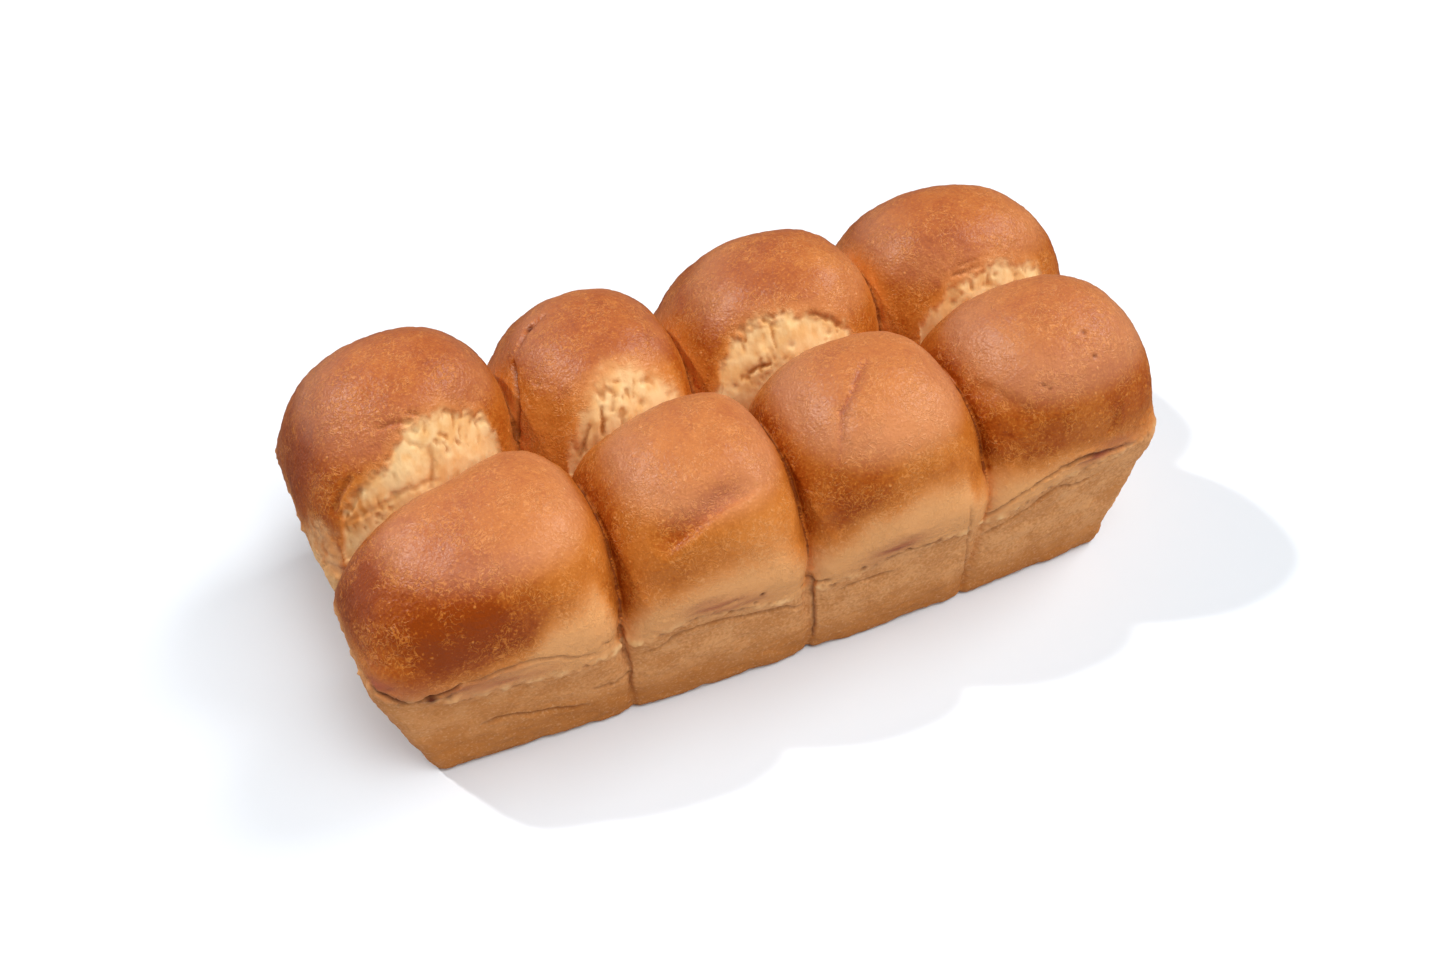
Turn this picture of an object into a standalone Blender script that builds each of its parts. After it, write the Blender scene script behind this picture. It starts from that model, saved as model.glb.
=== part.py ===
"""Brioche loaf of eight balls of dough, in two rows of four, baked side by side in a tin.

The loaf is one solid. Each ball is modelled on its own: square where the tin and its neighbours
held it, round where it rose above the rim. The balls are joined by one union and cut flat below.
Metres, +Z up, X along the loaf, the front row at -Y, the middle of the underside at the origin.
"""

import math
from dataclasses import dataclass

import bmesh
import bpy
from mathutils import Vector, noise

MM = 0.001
TINY = 1e-6

# Tin: its floor, its rim and the slight bow of its long sides
FLOOR_LENGTH = 250 * MM
FLOOR_WIDTH = 120 * MM
RIM_HEIGHT = 41 * MM
RIM_LEFT = -139.5 * MM
RIM_RIGHT = 138.5 * MM
RIM_WIDTH = 128 * MM
SIDE_BOW = 4 * MM
BOW_MIDDLE = 25 * MM

# Dough above the rim: where the domes are widest and how far the loaf reaches there
WIDEST_HEIGHT = 54 * MM
LOAF_LEFT = -142 * MM
LOAF_RIGHT = 147 * MM
FRONT_RIGHT = 143 * MM
DOME_BULGE = 2.5 * MM
BULGE_START = RIM_HEIGHT - 4 * MM
ROW_MIDDLE = 30 * MM

# Corners in plan, as powers of a superellipse: high is square, 2 is round
TIN_CORNER_POWER = 13.0
SEAM_CORNER_POWER = 16.0
RIM_CORNER_POWER = 8.0
RIM_SEAM_POWER = 6.5
DOME_POWER = 3.3
TOP_POWER = 2.2
ROUNDED_HEIGHT = WIDEST_HEIGHT + 10 * MM

# Side view of a dome, as powers of a superellipse: crusted sides and the torn side of the back row
DOME_PROFILE = 2.45
TORN_PROFILE = 2.15

# Crust line where the dough met the tin's rim: distance along the loaf, and height
RIM_LINE = (
    (RIM_LEFT, 49 * MM),
    (-110 * MM, 38 * MM),
    (-60 * MM, 35 * MM),
    (-40 * MM, 43 * MM),
    (5 * MM, 34 * MM),
    (40 * MM, 42 * MM),
    (68 * MM, 38 * MM),
    (105 * MM, 51 * MM),
    (RIM_RIGHT, 53 * MM),
)
RIM_LIP = 1.4 * MM
LIP_BELOW = 4 * MM
LIP_ABOVE = 2 * MM

# Folds pressed into the domes: two ends of each in millimetres, its depth and its half width
FOLDS = (
    ((-40, -62, 77), (-12, -58, 84), 2.6 * MM, 5 * MM),
    ((36, -34, 96), (17, -55, 83), 1.8 * MM, 4.5 * MM),
    ((74, -46, 80), (76, -64, 58), 2 * MM, 5 * MM),
    ((-44, 48, 88), (-61, 29, 82), 2.8 * MM, 4.5 * MM),
    ((-61, 29, 82), (-69, 12, 60), 2.8 * MM, 4.5 * MM),
)

# Torn crumb on the valley side of the back row: how deep, how ragged, and where it ends
TEAR_DEPTH = 2.4 * MM
TEAR_RAGGED = 1.8 * MM
TEAR_GRAIN = 9 * MM
TEAR_TOP = 13 * MM
TEAR_EDGE = 2 * MM
TEAR_FOOT = 6 * MM
TEAR_SHARE = 0.62
TEAR_SIDE = 0.25

# Balls overlap a little at the tin's floor, and up to their saddle's height further up
FLOOR_OVERLAP = 1.2 * MM
OVERLAP_START = 10 * MM

# Mesh of one ball
SPANS = 12
WALL_LEVELS = (-4 * MM, 15 * MM, 31 * MM, 39 * MM, 45 * MM, 54 * MM)
DOME_SIDE_ANGLE = math.radians(48)
SHARP_ANGLE = math.radians(50)

# Crust, browned and egg-washed
CRUST_COLOUR = (0.42, 0.16, 0.05, 1.0)
CRUST_ROUGHNESS = 0.45


@dataclass(frozen=True)
class Ball:
    """One ball of dough. Its seams or ends are given at the tin's floor and at its rim."""

    side: int
    floor: tuple
    rim: tuple
    saddles: tuple
    top: float
    lean: float
    rise: float
    ends: tuple


@dataclass(frozen=True)
class Row:
    """Four balls between five seams, left to right.

    side is -1 for the front row and 1 for the back row, saddles are the heights where neighbours
    meet, tops the heights of the domes, leans how far a dome's top sits to the right of its foot,
    rises how much higher its right shoulder is, and ends how far the row's domes reach.
    """

    side: int
    floor: tuple
    rim: tuple
    saddles: tuple
    tops: tuple
    leans: tuple
    rises: tuple
    ends: tuple


FRONT = Row(
    side=-1,
    floor=(-FLOOR_LENGTH / 2, -57 * MM, 7 * MM, 66 * MM, FLOOR_LENGTH / 2),
    rim=(RIM_LEFT, -60 * MM, 4 * MM, 70 * MM, RIM_RIGHT),
    saddles=(64 * MM, 70 * MM, 77 * MM),
    tops=(88 * MM, 91 * MM, 95 * MM, 97 * MM),
    leans=(6 * MM, 3 * MM, 1 * MM, 4 * MM),
    rises=(0.10, 0.08, 0.03, 0.03),
    ends=(LOAF_LEFT, FRONT_RIGHT),
)
BACK = Row(
    side=1,
    floor=(-FLOOR_LENGTH / 2, -66 * MM, -8 * MM, 60 * MM, FLOOR_LENGTH / 2),
    rim=(RIM_LEFT, -67 * MM, -4 * MM, 68 * MM, RIM_RIGHT),
    saddles=(64 * MM, 65 * MM, 71 * MM),
    tops=(97 * MM, 89 * MM, 93 * MM, 94.5 * MM),
    leans=(4 * MM, 4 * MM, 6 * MM, 3 * MM),
    rises=(0.02, 0.02, 0.08, 0.0),
    ends=(LOAF_LEFT, LOAF_RIGHT),
)

# Valley between the rows, left to right: distance along the loaf, across it, and height
VALLEY = (
    (LOAF_LEFT, -13 * MM, 46 * MM),
    (-110 * MM, -8 * MM, 60 * MM),
    (-72 * MM, 4 * MM, 66 * MM),
    (-40 * MM, -4 * MM, 64 * MM),
    (5 * MM, 1 * MM, 68 * MM),
    (40 * MM, -1 * MM, 71 * MM),
    (72 * MM, 3 * MM, 72 * MM),
    (110 * MM, 0.0, 70 * MM),
    (LOAF_RIGHT, 0.0, 54 * MM),
)


def smoothstep(value, low, high):
    """0 below low, 1 above high, and an even turn between."""
    t = min(max((value - low) / (high - low), 0.0), 1.0)
    return t * t * (3 - 2 * t)


def mix(a, b, t):
    """From a to b as t goes from 0 to 1."""
    return a + (b - a) * t


def along(line, x):
    """Values of a line of named points at x, with an even turn from each point to the next."""
    if x <= line[0][0]:
        return line[0][1:]
    for before, after in zip(line, line[1:]):
        if x <= after[0]:
            t = smoothstep(x, before[0], after[0])
            return tuple(mix(a, b, t) for a, b in zip(before[1:], after[1:]))
    return line[-1][1:]


def dome_share(height, top, power):
    """Share of a dome's widest reach that is left at a height."""
    t = (height - WIDEST_HEIGHT) / (top - WIDEST_HEIGHT)
    return (1 - max(t, 0.0) ** power) ** (1 / power)


def balls_of(row):
    """The balls of a row, each with the saddles on its left and right."""
    saddles = (None, *row.saddles, None)
    for i, top in enumerate(row.tops):
        yield Ball(
            side=row.side,
            floor=row.floor[i : i + 2],
            rim=row.rim[i : i + 2],
            saddles=saddles[i : i + 2],
            top=top,
            lean=row.leans[i],
            rise=row.rises[i],
            ends=row.ends,
        )


def tin_side(z, floor, rim):
    """Place of the tin's side at a height, or of its rim higher up."""
    return mix(floor, rim, min(z, RIM_HEIGHT) / RIM_HEIGHT)


def overlap(z, full):
    """How far a ball reaches into its neighbour: little at the floor, and fully where it is widest."""
    return mix(FLOOR_OVERLAP, full, smoothstep(z, OVERLAP_START, WIDEST_HEIGHT))


def side_reach(ball, z, middle, hand):
    """How far the ball reaches along X from its middle, to the left (0) or the right (1)."""
    seam = abs(tin_side(z, ball.floor[hand], ball.rim[hand]) - middle)
    saddle = ball.saddles[hand]
    if saddle is None:
        bulge = abs(ball.ends[hand] - ball.rim[hand])
        return seam + bulge * smoothstep(z, BULGE_START, WIDEST_HEIGHT)
    half = abs(ball.rim[hand] - middle)
    return seam + overlap(z, half / dome_share(saddle, ball.top, DOME_PROFILE) - half)


def outer_reach(z, x):
    """How far a ball reaches from the row's middle to the tin's long side."""
    wall = tin_side(z, FLOOR_WIDTH / 2, RIM_WIDTH / 2)
    to_end = FLOOR_LENGTH / 2 - math.copysign(BOW_MIDDLE, x - BOW_MIDDLE)
    bow = SIDE_BOW * (1 - min(abs(x - BOW_MIDDLE) / to_end, 1.0) ** 2)
    bulge = DOME_BULGE * smoothstep(z, BULGE_START, WIDEST_HEIGHT)
    rim_line = along(RIM_LINE, x)[0]
    lip = RIM_LIP * (smoothstep(z, rim_line - LIP_BELOW, rim_line + LIP_ABOVE) - 1)
    return wall - ROW_MIDDLE + bow + bulge + lip


def inner_reach(ball, z, x, profile):
    """How far a ball reaches from the row's middle over the valley between the rows."""
    across, height = along(VALLEY, x)
    half = ROW_MIDDLE - ball.side * across
    return half + overlap(z, half / dome_share(height, ball.top, profile) - half)


def corner_power(z, top, at_end):
    """Power of the corner in plan: square in the tin, rounder towards the top."""
    low = TIN_CORNER_POWER if at_end else SEAM_CORNER_POWER
    rim = RIM_CORNER_POWER if at_end else RIM_SEAM_POWER
    if z < RIM_HEIGHT:
        return mix(low, rim, max(z, 0.0) / RIM_HEIGHT)
    dome = mix(rim, DOME_POWER, smoothstep(z, RIM_HEIGHT, ROUNDED_HEIGHT))
    return mix(dome, TOP_POWER, smoothstep(z, WIDEST_HEIGHT, top))


def wall_height(share):
    """Height on the wall, share of the way up its levels."""
    place = share * (len(WALL_LEVELS) - 1)
    below = min(int(place + TINY), len(WALL_LEVELS) - 2)
    return mix(WALL_LEVELS[below], WALL_LEVELS[below + 1], place - below)


def profile_point(cube_point, top, profile):
    """Height, and share of the widest reach, where a point of the cube comes on a ball."""
    u, v, w = cube_point
    ring = max(abs(u), abs(v))
    shoulder = -1 + 2 * (len(WALL_LEVELS) - 1) / SPANS
    if w <= shoulder + TINY:
        return wall_height((w + 1) / (1 + shoulder)), ring
    if ring > 1 - TINY and w < 1 - TINY:
        angle = DOME_SIDE_ANGLE * (w - shoulder) / (1 - shoulder)
    else:
        angle = mix(math.pi / 2, DOME_SIDE_ANGLE, ring)
    c = max(math.cos(angle), 0.0)
    s = math.sin(angle)
    size = (c**profile + s**profile) ** (1 / profile)
    return mix(WIDEST_HEIGHT, top, s / size), c / size


def fold_depth(point):
    """How deep the folds press a point of the crust in."""
    depth = 0.0
    for start, end, deep, width in FOLDS:
        start = Vector(start) * MM
        run = Vector(end) * MM - start
        t = min(max((point - start).dot(run) / run.length_squared, 0.0), 1.0)
        away = (point - start - run * t).length
        depth = max(depth, deep * math.exp(-((away / width) ** 2)))
    return depth


def tear_depth(ball, point):
    """How deep the torn crumb lies under the crust, on the valley side of the back row."""
    if ball.side < 0:
        return 0.0
    across, height = along(VALLEY, point.x)
    half = (ball.rim[1] - ball.rim[0]) / 2
    off_middle = abs(point.x - (ball.rim[0] + ball.rim[1]) / 2 - ball.lean) / half
    ragged = noise.noise(point / TEAR_GRAIN)
    edge = across + TEAR_TOP + ragged * TEAR_RAGGED
    share = 1 - smoothstep(point.y, edge - TEAR_EDGE, edge + TEAR_EDGE)
    share *= 1 - smoothstep(off_middle, TEAR_SHARE, TEAR_SHARE + TEAR_SIDE)
    share *= smoothstep(point.z, height - TEAR_FOOT, height)
    return share * (TEAR_DEPTH + TEAR_RAGGED * noise.noise(point / TEAR_GRAIN * 2))


def place_point(ball, cube_point):
    """Moves a point of a cube from -1 to 1 to its place on the ball of dough."""
    u, v, _ = cube_point
    ring = max(abs(u), abs(v))
    edge_u, edge_v = (u / ring, v / ring) if ring > TINY else (1.0, 0.0)
    hand = 0 if u < 0 else 1
    inner = v * ball.side < 0
    inward = smoothstep(-edge_v * ball.side, 0.0, 1.0) if ball.side > 0 else 0.0
    profile = mix(DOME_PROFILE, TORN_PROFILE, inward)
    z, share = profile_point(cube_point, ball.top, profile)
    level = min(max(z, 0.0), WIDEST_HEIGHT)
    at_end = ball.saddles[hand] is None and not inner
    power = corner_power(z, ball.top, at_end)
    turn = (abs(edge_u) ** power + abs(edge_v) ** power) ** (-1 / power)
    middle = (ball.rim[0] + ball.rim[1]) / 2
    x = middle + side_reach(ball, level, middle, hand) * edge_u * turn * share
    reach_y = inner_reach(ball, level, x, profile) if inner else outer_reach(level, x)
    y = ball.side * ROW_MIDDLE + reach_y * edge_v * turn * share
    x += ball.lean * max(z - RIM_HEIGHT, 0.0) / (ball.top - RIM_HEIGHT)
    z += max(z - WIDEST_HEIGHT, 0.0) * ball.rise * edge_u * share
    point = Vector((x, y, z))
    core = Vector((middle, ball.side * ROW_MIDDLE, WIDEST_HEIGHT))
    return point + (core - point).normalized() * (fold_depth(point) + tear_depth(ball, point))


def make_ball(ball):
    """One ball of dough as a closed mesh object."""
    bm = bmesh.new()
    bmesh.ops.create_cube(bm, size=2)
    bmesh.ops.subdivide_edges(bm, edges=bm.edges[:], cuts=SPANS - 1, use_grid_fill=True)
    for vert in bm.verts:
        vert.co = place_point(ball, vert.co)
    bmesh.ops.recalc_face_normals(bm, faces=bm.faces)
    mesh = bpy.data.meshes.new("ball")
    bm.to_mesh(mesh)
    bm.free()
    piece = bpy.data.objects.new("ball", mesh)
    bpy.context.scene.collection.objects.link(piece)
    return piece


def crust_material():
    """Browned, egg-washed crust."""
    material = bpy.data.materials.new("brioche_crust")
    material.use_nodes = True
    shader = material.node_tree.nodes["Principled BSDF"]
    shader.inputs["Base Color"].default_value = CRUST_COLOUR
    shader.inputs["Roughness"].default_value = CRUST_ROUGHNESS
    shader.inputs["Metallic"].default_value = 0.0
    return material


def join_balls(pieces):
    """One Boolean union of all the balls, applied to a new mesh, with the balls removed."""
    group = bpy.data.collections.new("balls_to_join")
    for piece in pieces[1:]:
        bpy.context.scene.collection.objects.unlink(piece)
        group.objects.link(piece)
    bpy.context.scene.collection.children.link(group)
    union = pieces[0].modifiers.new("join", "BOOLEAN")
    union.operation = "UNION"
    union.operand_type = "COLLECTION"
    union.solver = "EXACT"
    union.collection = group
    graph = bpy.context.evaluated_depsgraph_get()
    mesh = bpy.data.meshes.new_from_object(pieces[0].evaluated_get(graph))
    for piece in pieces:
        bpy.data.objects.remove(piece)
    bpy.data.collections.remove(group)
    return mesh


def finish_loaf(mesh):
    """Cuts the joined dough flat at the tin's floor and shades the crust smooth."""
    bm = bmesh.new()
    bm.from_mesh(mesh)
    cut = bmesh.ops.bisect_plane(
        bm,
        geom=bm.verts[:] + bm.edges[:] + bm.faces[:],
        plane_co=(0, 0, 0),
        plane_no=(0, 0, 1),
        clear_inner=True,
    )
    rim_edges = [item for item in cut["geom_cut"] if isinstance(item, bmesh.types.BMEdge)]
    bmesh.ops.holes_fill(bm, edges=rim_edges)
    bmesh.ops.recalc_face_normals(bm, faces=bm.faces)
    ends = [vert.co.x for vert in bm.verts]
    sides = [vert.co.y for vert in bm.verts]
    middle = Vector((min(ends) + max(ends), min(sides) + max(sides), 0)) / 2
    bmesh.ops.translate(bm, verts=bm.verts, vec=-middle)
    bm.to_mesh(mesh)
    bm.free()
    loaf = bpy.data.objects.new("loaf", mesh)
    bpy.context.scene.collection.objects.link(loaf)
    mesh.materials.clear()
    mesh.materials.append(crust_material())
    mesh.shade_smooth()
    mesh.set_sharp_from_angle(angle=SHARP_ANGLE)
    return loaf


def clear_scene():
    """Removes every object of the scene."""
    for item in list(bpy.data.objects):
        bpy.data.objects.remove(item)


def main():
    """Builds the loaf."""
    clear_scene()
    balls = list(balls_of(FRONT)) + list(balls_of(BACK))
    mesh = join_balls([make_ball(ball) for ball in balls])
    finish_loaf(mesh)


main()
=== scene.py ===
"""Brioche loaf: eight balls of egg dough in two rows, baked in a tin, shown in a pale studio.

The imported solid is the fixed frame. One finely modelled loaf stands for it: the same balls, joined,
with folds, torn crumb, cracks along the tin's rim and the pocked skin that the tin left.
Metres, +Z up, X along the loaf, the front row at -Y.
"""

import logging
import math
from dataclasses import dataclass
from enum import Enum

import bmesh
import bpy
import numpy as np
from mathutils import Matrix, Vector
from mathutils.bvhtree import BVHTree
from mathutils.kdtree import KDTree


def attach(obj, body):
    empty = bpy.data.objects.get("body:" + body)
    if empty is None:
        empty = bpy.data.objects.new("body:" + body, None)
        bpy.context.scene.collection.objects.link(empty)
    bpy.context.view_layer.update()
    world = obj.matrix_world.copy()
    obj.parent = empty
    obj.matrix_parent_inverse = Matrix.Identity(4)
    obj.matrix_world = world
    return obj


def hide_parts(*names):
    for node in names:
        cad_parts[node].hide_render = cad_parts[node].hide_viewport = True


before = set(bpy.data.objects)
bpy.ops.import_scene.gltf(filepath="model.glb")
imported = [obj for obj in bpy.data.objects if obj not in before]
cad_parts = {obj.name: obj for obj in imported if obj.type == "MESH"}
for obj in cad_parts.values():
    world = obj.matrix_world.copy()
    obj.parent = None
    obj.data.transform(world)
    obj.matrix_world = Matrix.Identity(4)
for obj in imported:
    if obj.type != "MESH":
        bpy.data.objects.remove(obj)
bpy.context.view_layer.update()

LOG = logging.getLogger("brioche")
MM = 0.001
TINY = 1e-6


class Side(Enum):
    """The side of the loaf that a row of balls lies on, as the sign of its Y."""

    FRONT = -1
    BACK = 1


class Skin(Enum):
    """A kind of skin, as the name of the attribute that carries its share."""

    WALL = "wall"
    # Browning, with painted shade by the front seams and in the folds, and painted bounce light by the
    # back seams
    BAKE = "bake_and_shading"
    # Painted sheen on the domes' tops
    PAINTED_SHEEN = "painted_sheen"
    BLUSH = "blush"
    TORN = "torn"
    # Dark of cracks, slits, holes, nicks and crumb cells: painted shade, and the scorched spots' own
    # colour
    CRACK_SHADE = "crack"
    # Golden crumb: toast, and painted shade in the crumb's cells
    TOAST_AND_CELL_SHADE = "toast"
    # Nearness to a seam, which carries painted bounce light and painted shade in the crease
    SEAM = "seam"


def mm(*values: float) -> tuple:
    """Millimetres, as metres."""
    return tuple(value * MM for value in values)


def smoothstep(value: np.ndarray, low: float, high: float) -> np.ndarray:
    """0 below low, 1 above high, and an even turn between."""
    t = np.clip((value - low) / (high - low), 0.0, 1.0)
    return t * t * (3 - 2 * t)


def mix(a: float, b: float, t: np.ndarray) -> np.ndarray:
    """From a to b as t goes from 0 to 1."""
    return a + (b - a) * t


def hump(value: np.ndarray, width: float) -> np.ndarray:
    """1 where value is 0, falling away like a bell with a half width."""
    return np.exp(-((value / width) ** 2))


def along(line: tuple, x: np.ndarray) -> np.ndarray:
    """Reads a line of (x, value) points, with an even turn from each point to the next.

    Args:
        line: Points in rising order of x.
        x: Places along the line.

    Returns:
        The line's value at each place.
    """
    xs, values = np.array(line).T
    place = np.clip(np.searchsorted(xs, x, side="right") - 1, 0, len(xs) - 2)
    return mix(values[place], values[place + 1], smoothstep(x, xs[place], xs[place + 1]))


def along_skin(offset: np.ndarray, normals: np.ndarray, most: float) -> np.ndarray:
    """Takes the part across the skin out of offsets, where it isn't large.

    Args:
        offset: The way to each place.
        normals: The skin's normals there.
        most: Largest part across the skin that is left out.

    Returns:
        The way along the skin.
    """
    across = (offset * normals).sum(axis=1)
    return offset - np.where(np.abs(across) < most, across, 0.0)[:, None] * normals


def path_offset(points: np.ndarray, path: tuple) -> tuple:
    """Finds where points lie beside a path of straight runs.

    Args:
        points: Places, in as many dimensions as the path has.
        path: Corners of the path.

    Returns:
        The way from the path's nearest point to each place, and how far along the path that is, 0 to 1.
    """
    corners = np.array(path)
    lengths = np.linalg.norm(np.diff(corners, axis=0), axis=1)
    starts = np.concatenate(((0.0,), np.cumsum(lengths)))
    nearest = np.full(len(points), np.inf)
    offset = np.zeros_like(points)
    share = np.zeros(len(points))
    for start, end, length, before in zip(corners[:-1], corners[1:], lengths, starts):
        run = (end - start) / length
        t = np.clip((points - start) @ run, 0.0, length)
        away = points - start - t[:, None] * run
        distance = np.linalg.norm(away, axis=1)
        nearer = distance < nearest
        nearest = np.where(nearer, distance, nearest)
        offset = np.where(nearer[:, None], away, offset)
        share = np.where(nearer, (before + t) / starts[-1], share)
    return offset, share


@dataclass(frozen=True)
class Grain:
    """Gradient noise in space, for the unevenness of dough, crust and crumb."""

    seed: int
    directions: int = 256
    apart: float = 13.7
    mixers: tuple = (73856093, 19349663, 83492791)
    gain: float = 1.7
    sharpness: float = 2.2

    def gradients(self) -> np.ndarray:
        """Unit vectors that the noise leans along, one for each number of the lattice."""
        vectors = np.random.default_rng(self.seed).normal(size=(self.directions, 3))
        return vectors / np.linalg.norm(vectors, axis=1, keepdims=True)

    def __call__(self, points: np.ndarray, size: float | tuple) -> np.ndarray:
        """Reads the noise.

        Args:
            points: Places in space, one row each.
            size: Width of a lump, or a width along each axis.

        Returns:
            A value from about -1 to 1 for each place.
        """
        gradients = self.gradients()
        place = points / np.array(size) + self.apart * self.seed
        cell = np.floor(place).astype(np.int64)
        inside = place - cell
        fade = inside**3 * (inside * (inside * 6 - 15) + 10)
        total = np.zeros(len(points))
        for corner in np.ndindex(2, 2, 2):
            key = (cell + corner) @ np.array(self.mixers)
            key = (key ^ (key >> 11)) * 40503
            lean = gradients[(key >> 7) % self.directions]
            weight = np.prod(np.where(corner, fade, 1 - fade), axis=1)
            total += weight * ((inside - corner) * lean).sum(axis=1)
        return self.gain * total

    def ridges(self, points: np.ndarray, size: float | tuple) -> np.ndarray:
        """Sharp ridges of the noise: 1 on a ridge, falling to about 0 between."""
        return 1 - np.minimum(np.abs(self(points, size)) * self.sharpness, 1.0)

    def lumps(self, points: np.ndarray, layer: tuple, share: float | np.ndarray = 1.0) -> np.ndarray:
        """A share of a layer of lumps, which is given as their height and their width."""
        high, wide = layer
        return share * high * self(points, wide)


COARSE, FINE, FIBRE = Grain(3), Grain(7), Grain(11)


@dataclass(frozen=True)
class Tin:
    """The loaf tin, and how the dough meets its rim."""

    floor_length: float = 250 * MM
    floor_width: float = 120 * MM
    rim_height: float = 41 * MM
    rim_width: float = 128 * MM
    side_bow: float = 4 * MM
    bow_middle: float = 25 * MM
    base_round: float = 2.6 * MM
    rim_lip: float = 1.4 * MM
    lip_turn: tuple = mm(-4, 2)
    # The line, as (x, z), along which the dough broke over the rim
    rim_line: tuple = (
        mm(-139.5, 49), mm(-110, 38), mm(-60, 35), mm(-40, 43), mm(5, 34), mm(40, 42), mm(68, 38),
        mm(105, 51), mm(138.5, 53),
    )

    def side(self, z: np.ndarray, floor: float, rim: float) -> np.ndarray:
        """Place of the tin's side at a height, or of its rim higher up."""
        return mix(floor, rim, np.minimum(z, self.rim_height) / self.rim_height)

    def base_tuck(self, z: np.ndarray) -> np.ndarray:
        """How far the rounded edge of the base is drawn in at a height."""
        below = np.clip(1 - z / self.base_round, 0.0, 1.0)
        return self.base_round * (1 - np.sqrt(1 - below**2))


@dataclass(frozen=True)
class Rise:
    """How the dough rose above the tin: where it is widest, and the powers of its rounded forms."""

    widest: float = 54 * MM
    left: float = -142 * MM
    right: float = 147 * MM
    bulge: float = 2.5 * MM
    bulge_start: float = 4 * MM
    row_middle: float = 30 * MM
    floor_overlap: float = 1.2 * MM
    overlap_start: float = 10 * MM
    tin_corner: float = 13.0
    seam_corner: float = 16.0
    rim_corner: float = 8.0
    rim_seam: float = 6.5
    dome_corner: float = 3.3
    top_corner: float = 2.2
    rounded_above: float = 10 * MM
    dome_profile: float = 2.45
    torn_profile: float = 2.15
    side_angle: float = math.radians(48)
    valley: tuple = (
        mm(-142, -13, 46), mm(-110, -8, 60), mm(-72, 4, 66), mm(-40, -4, 64), mm(5, 1, 68),
        mm(40, -1, 71), mm(72, 3, 72), mm(110, 0, 70), mm(147, 0, 54),
    )

    def valley_at(self, x: np.ndarray) -> tuple:
        """Finds where the valley between the rows runs.

        Args:
            x: Places along the loaf.

        Returns:
            How far across the loaf, and how high, the valley is at each place.
        """
        across = along(tuple((px, py) for px, py, _ in self.valley), x)
        height = along(tuple((px, pz) for px, _, pz in self.valley), x)
        return across, height

    def dome_share(self, height: np.ndarray, top: float, power: np.ndarray) -> np.ndarray:
        """Share of a dome's widest reach that is left at a height."""
        t = np.maximum((height - self.widest) / (top - self.widest), 0.0)
        return (1 - t**power) ** (1 / power)


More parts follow.
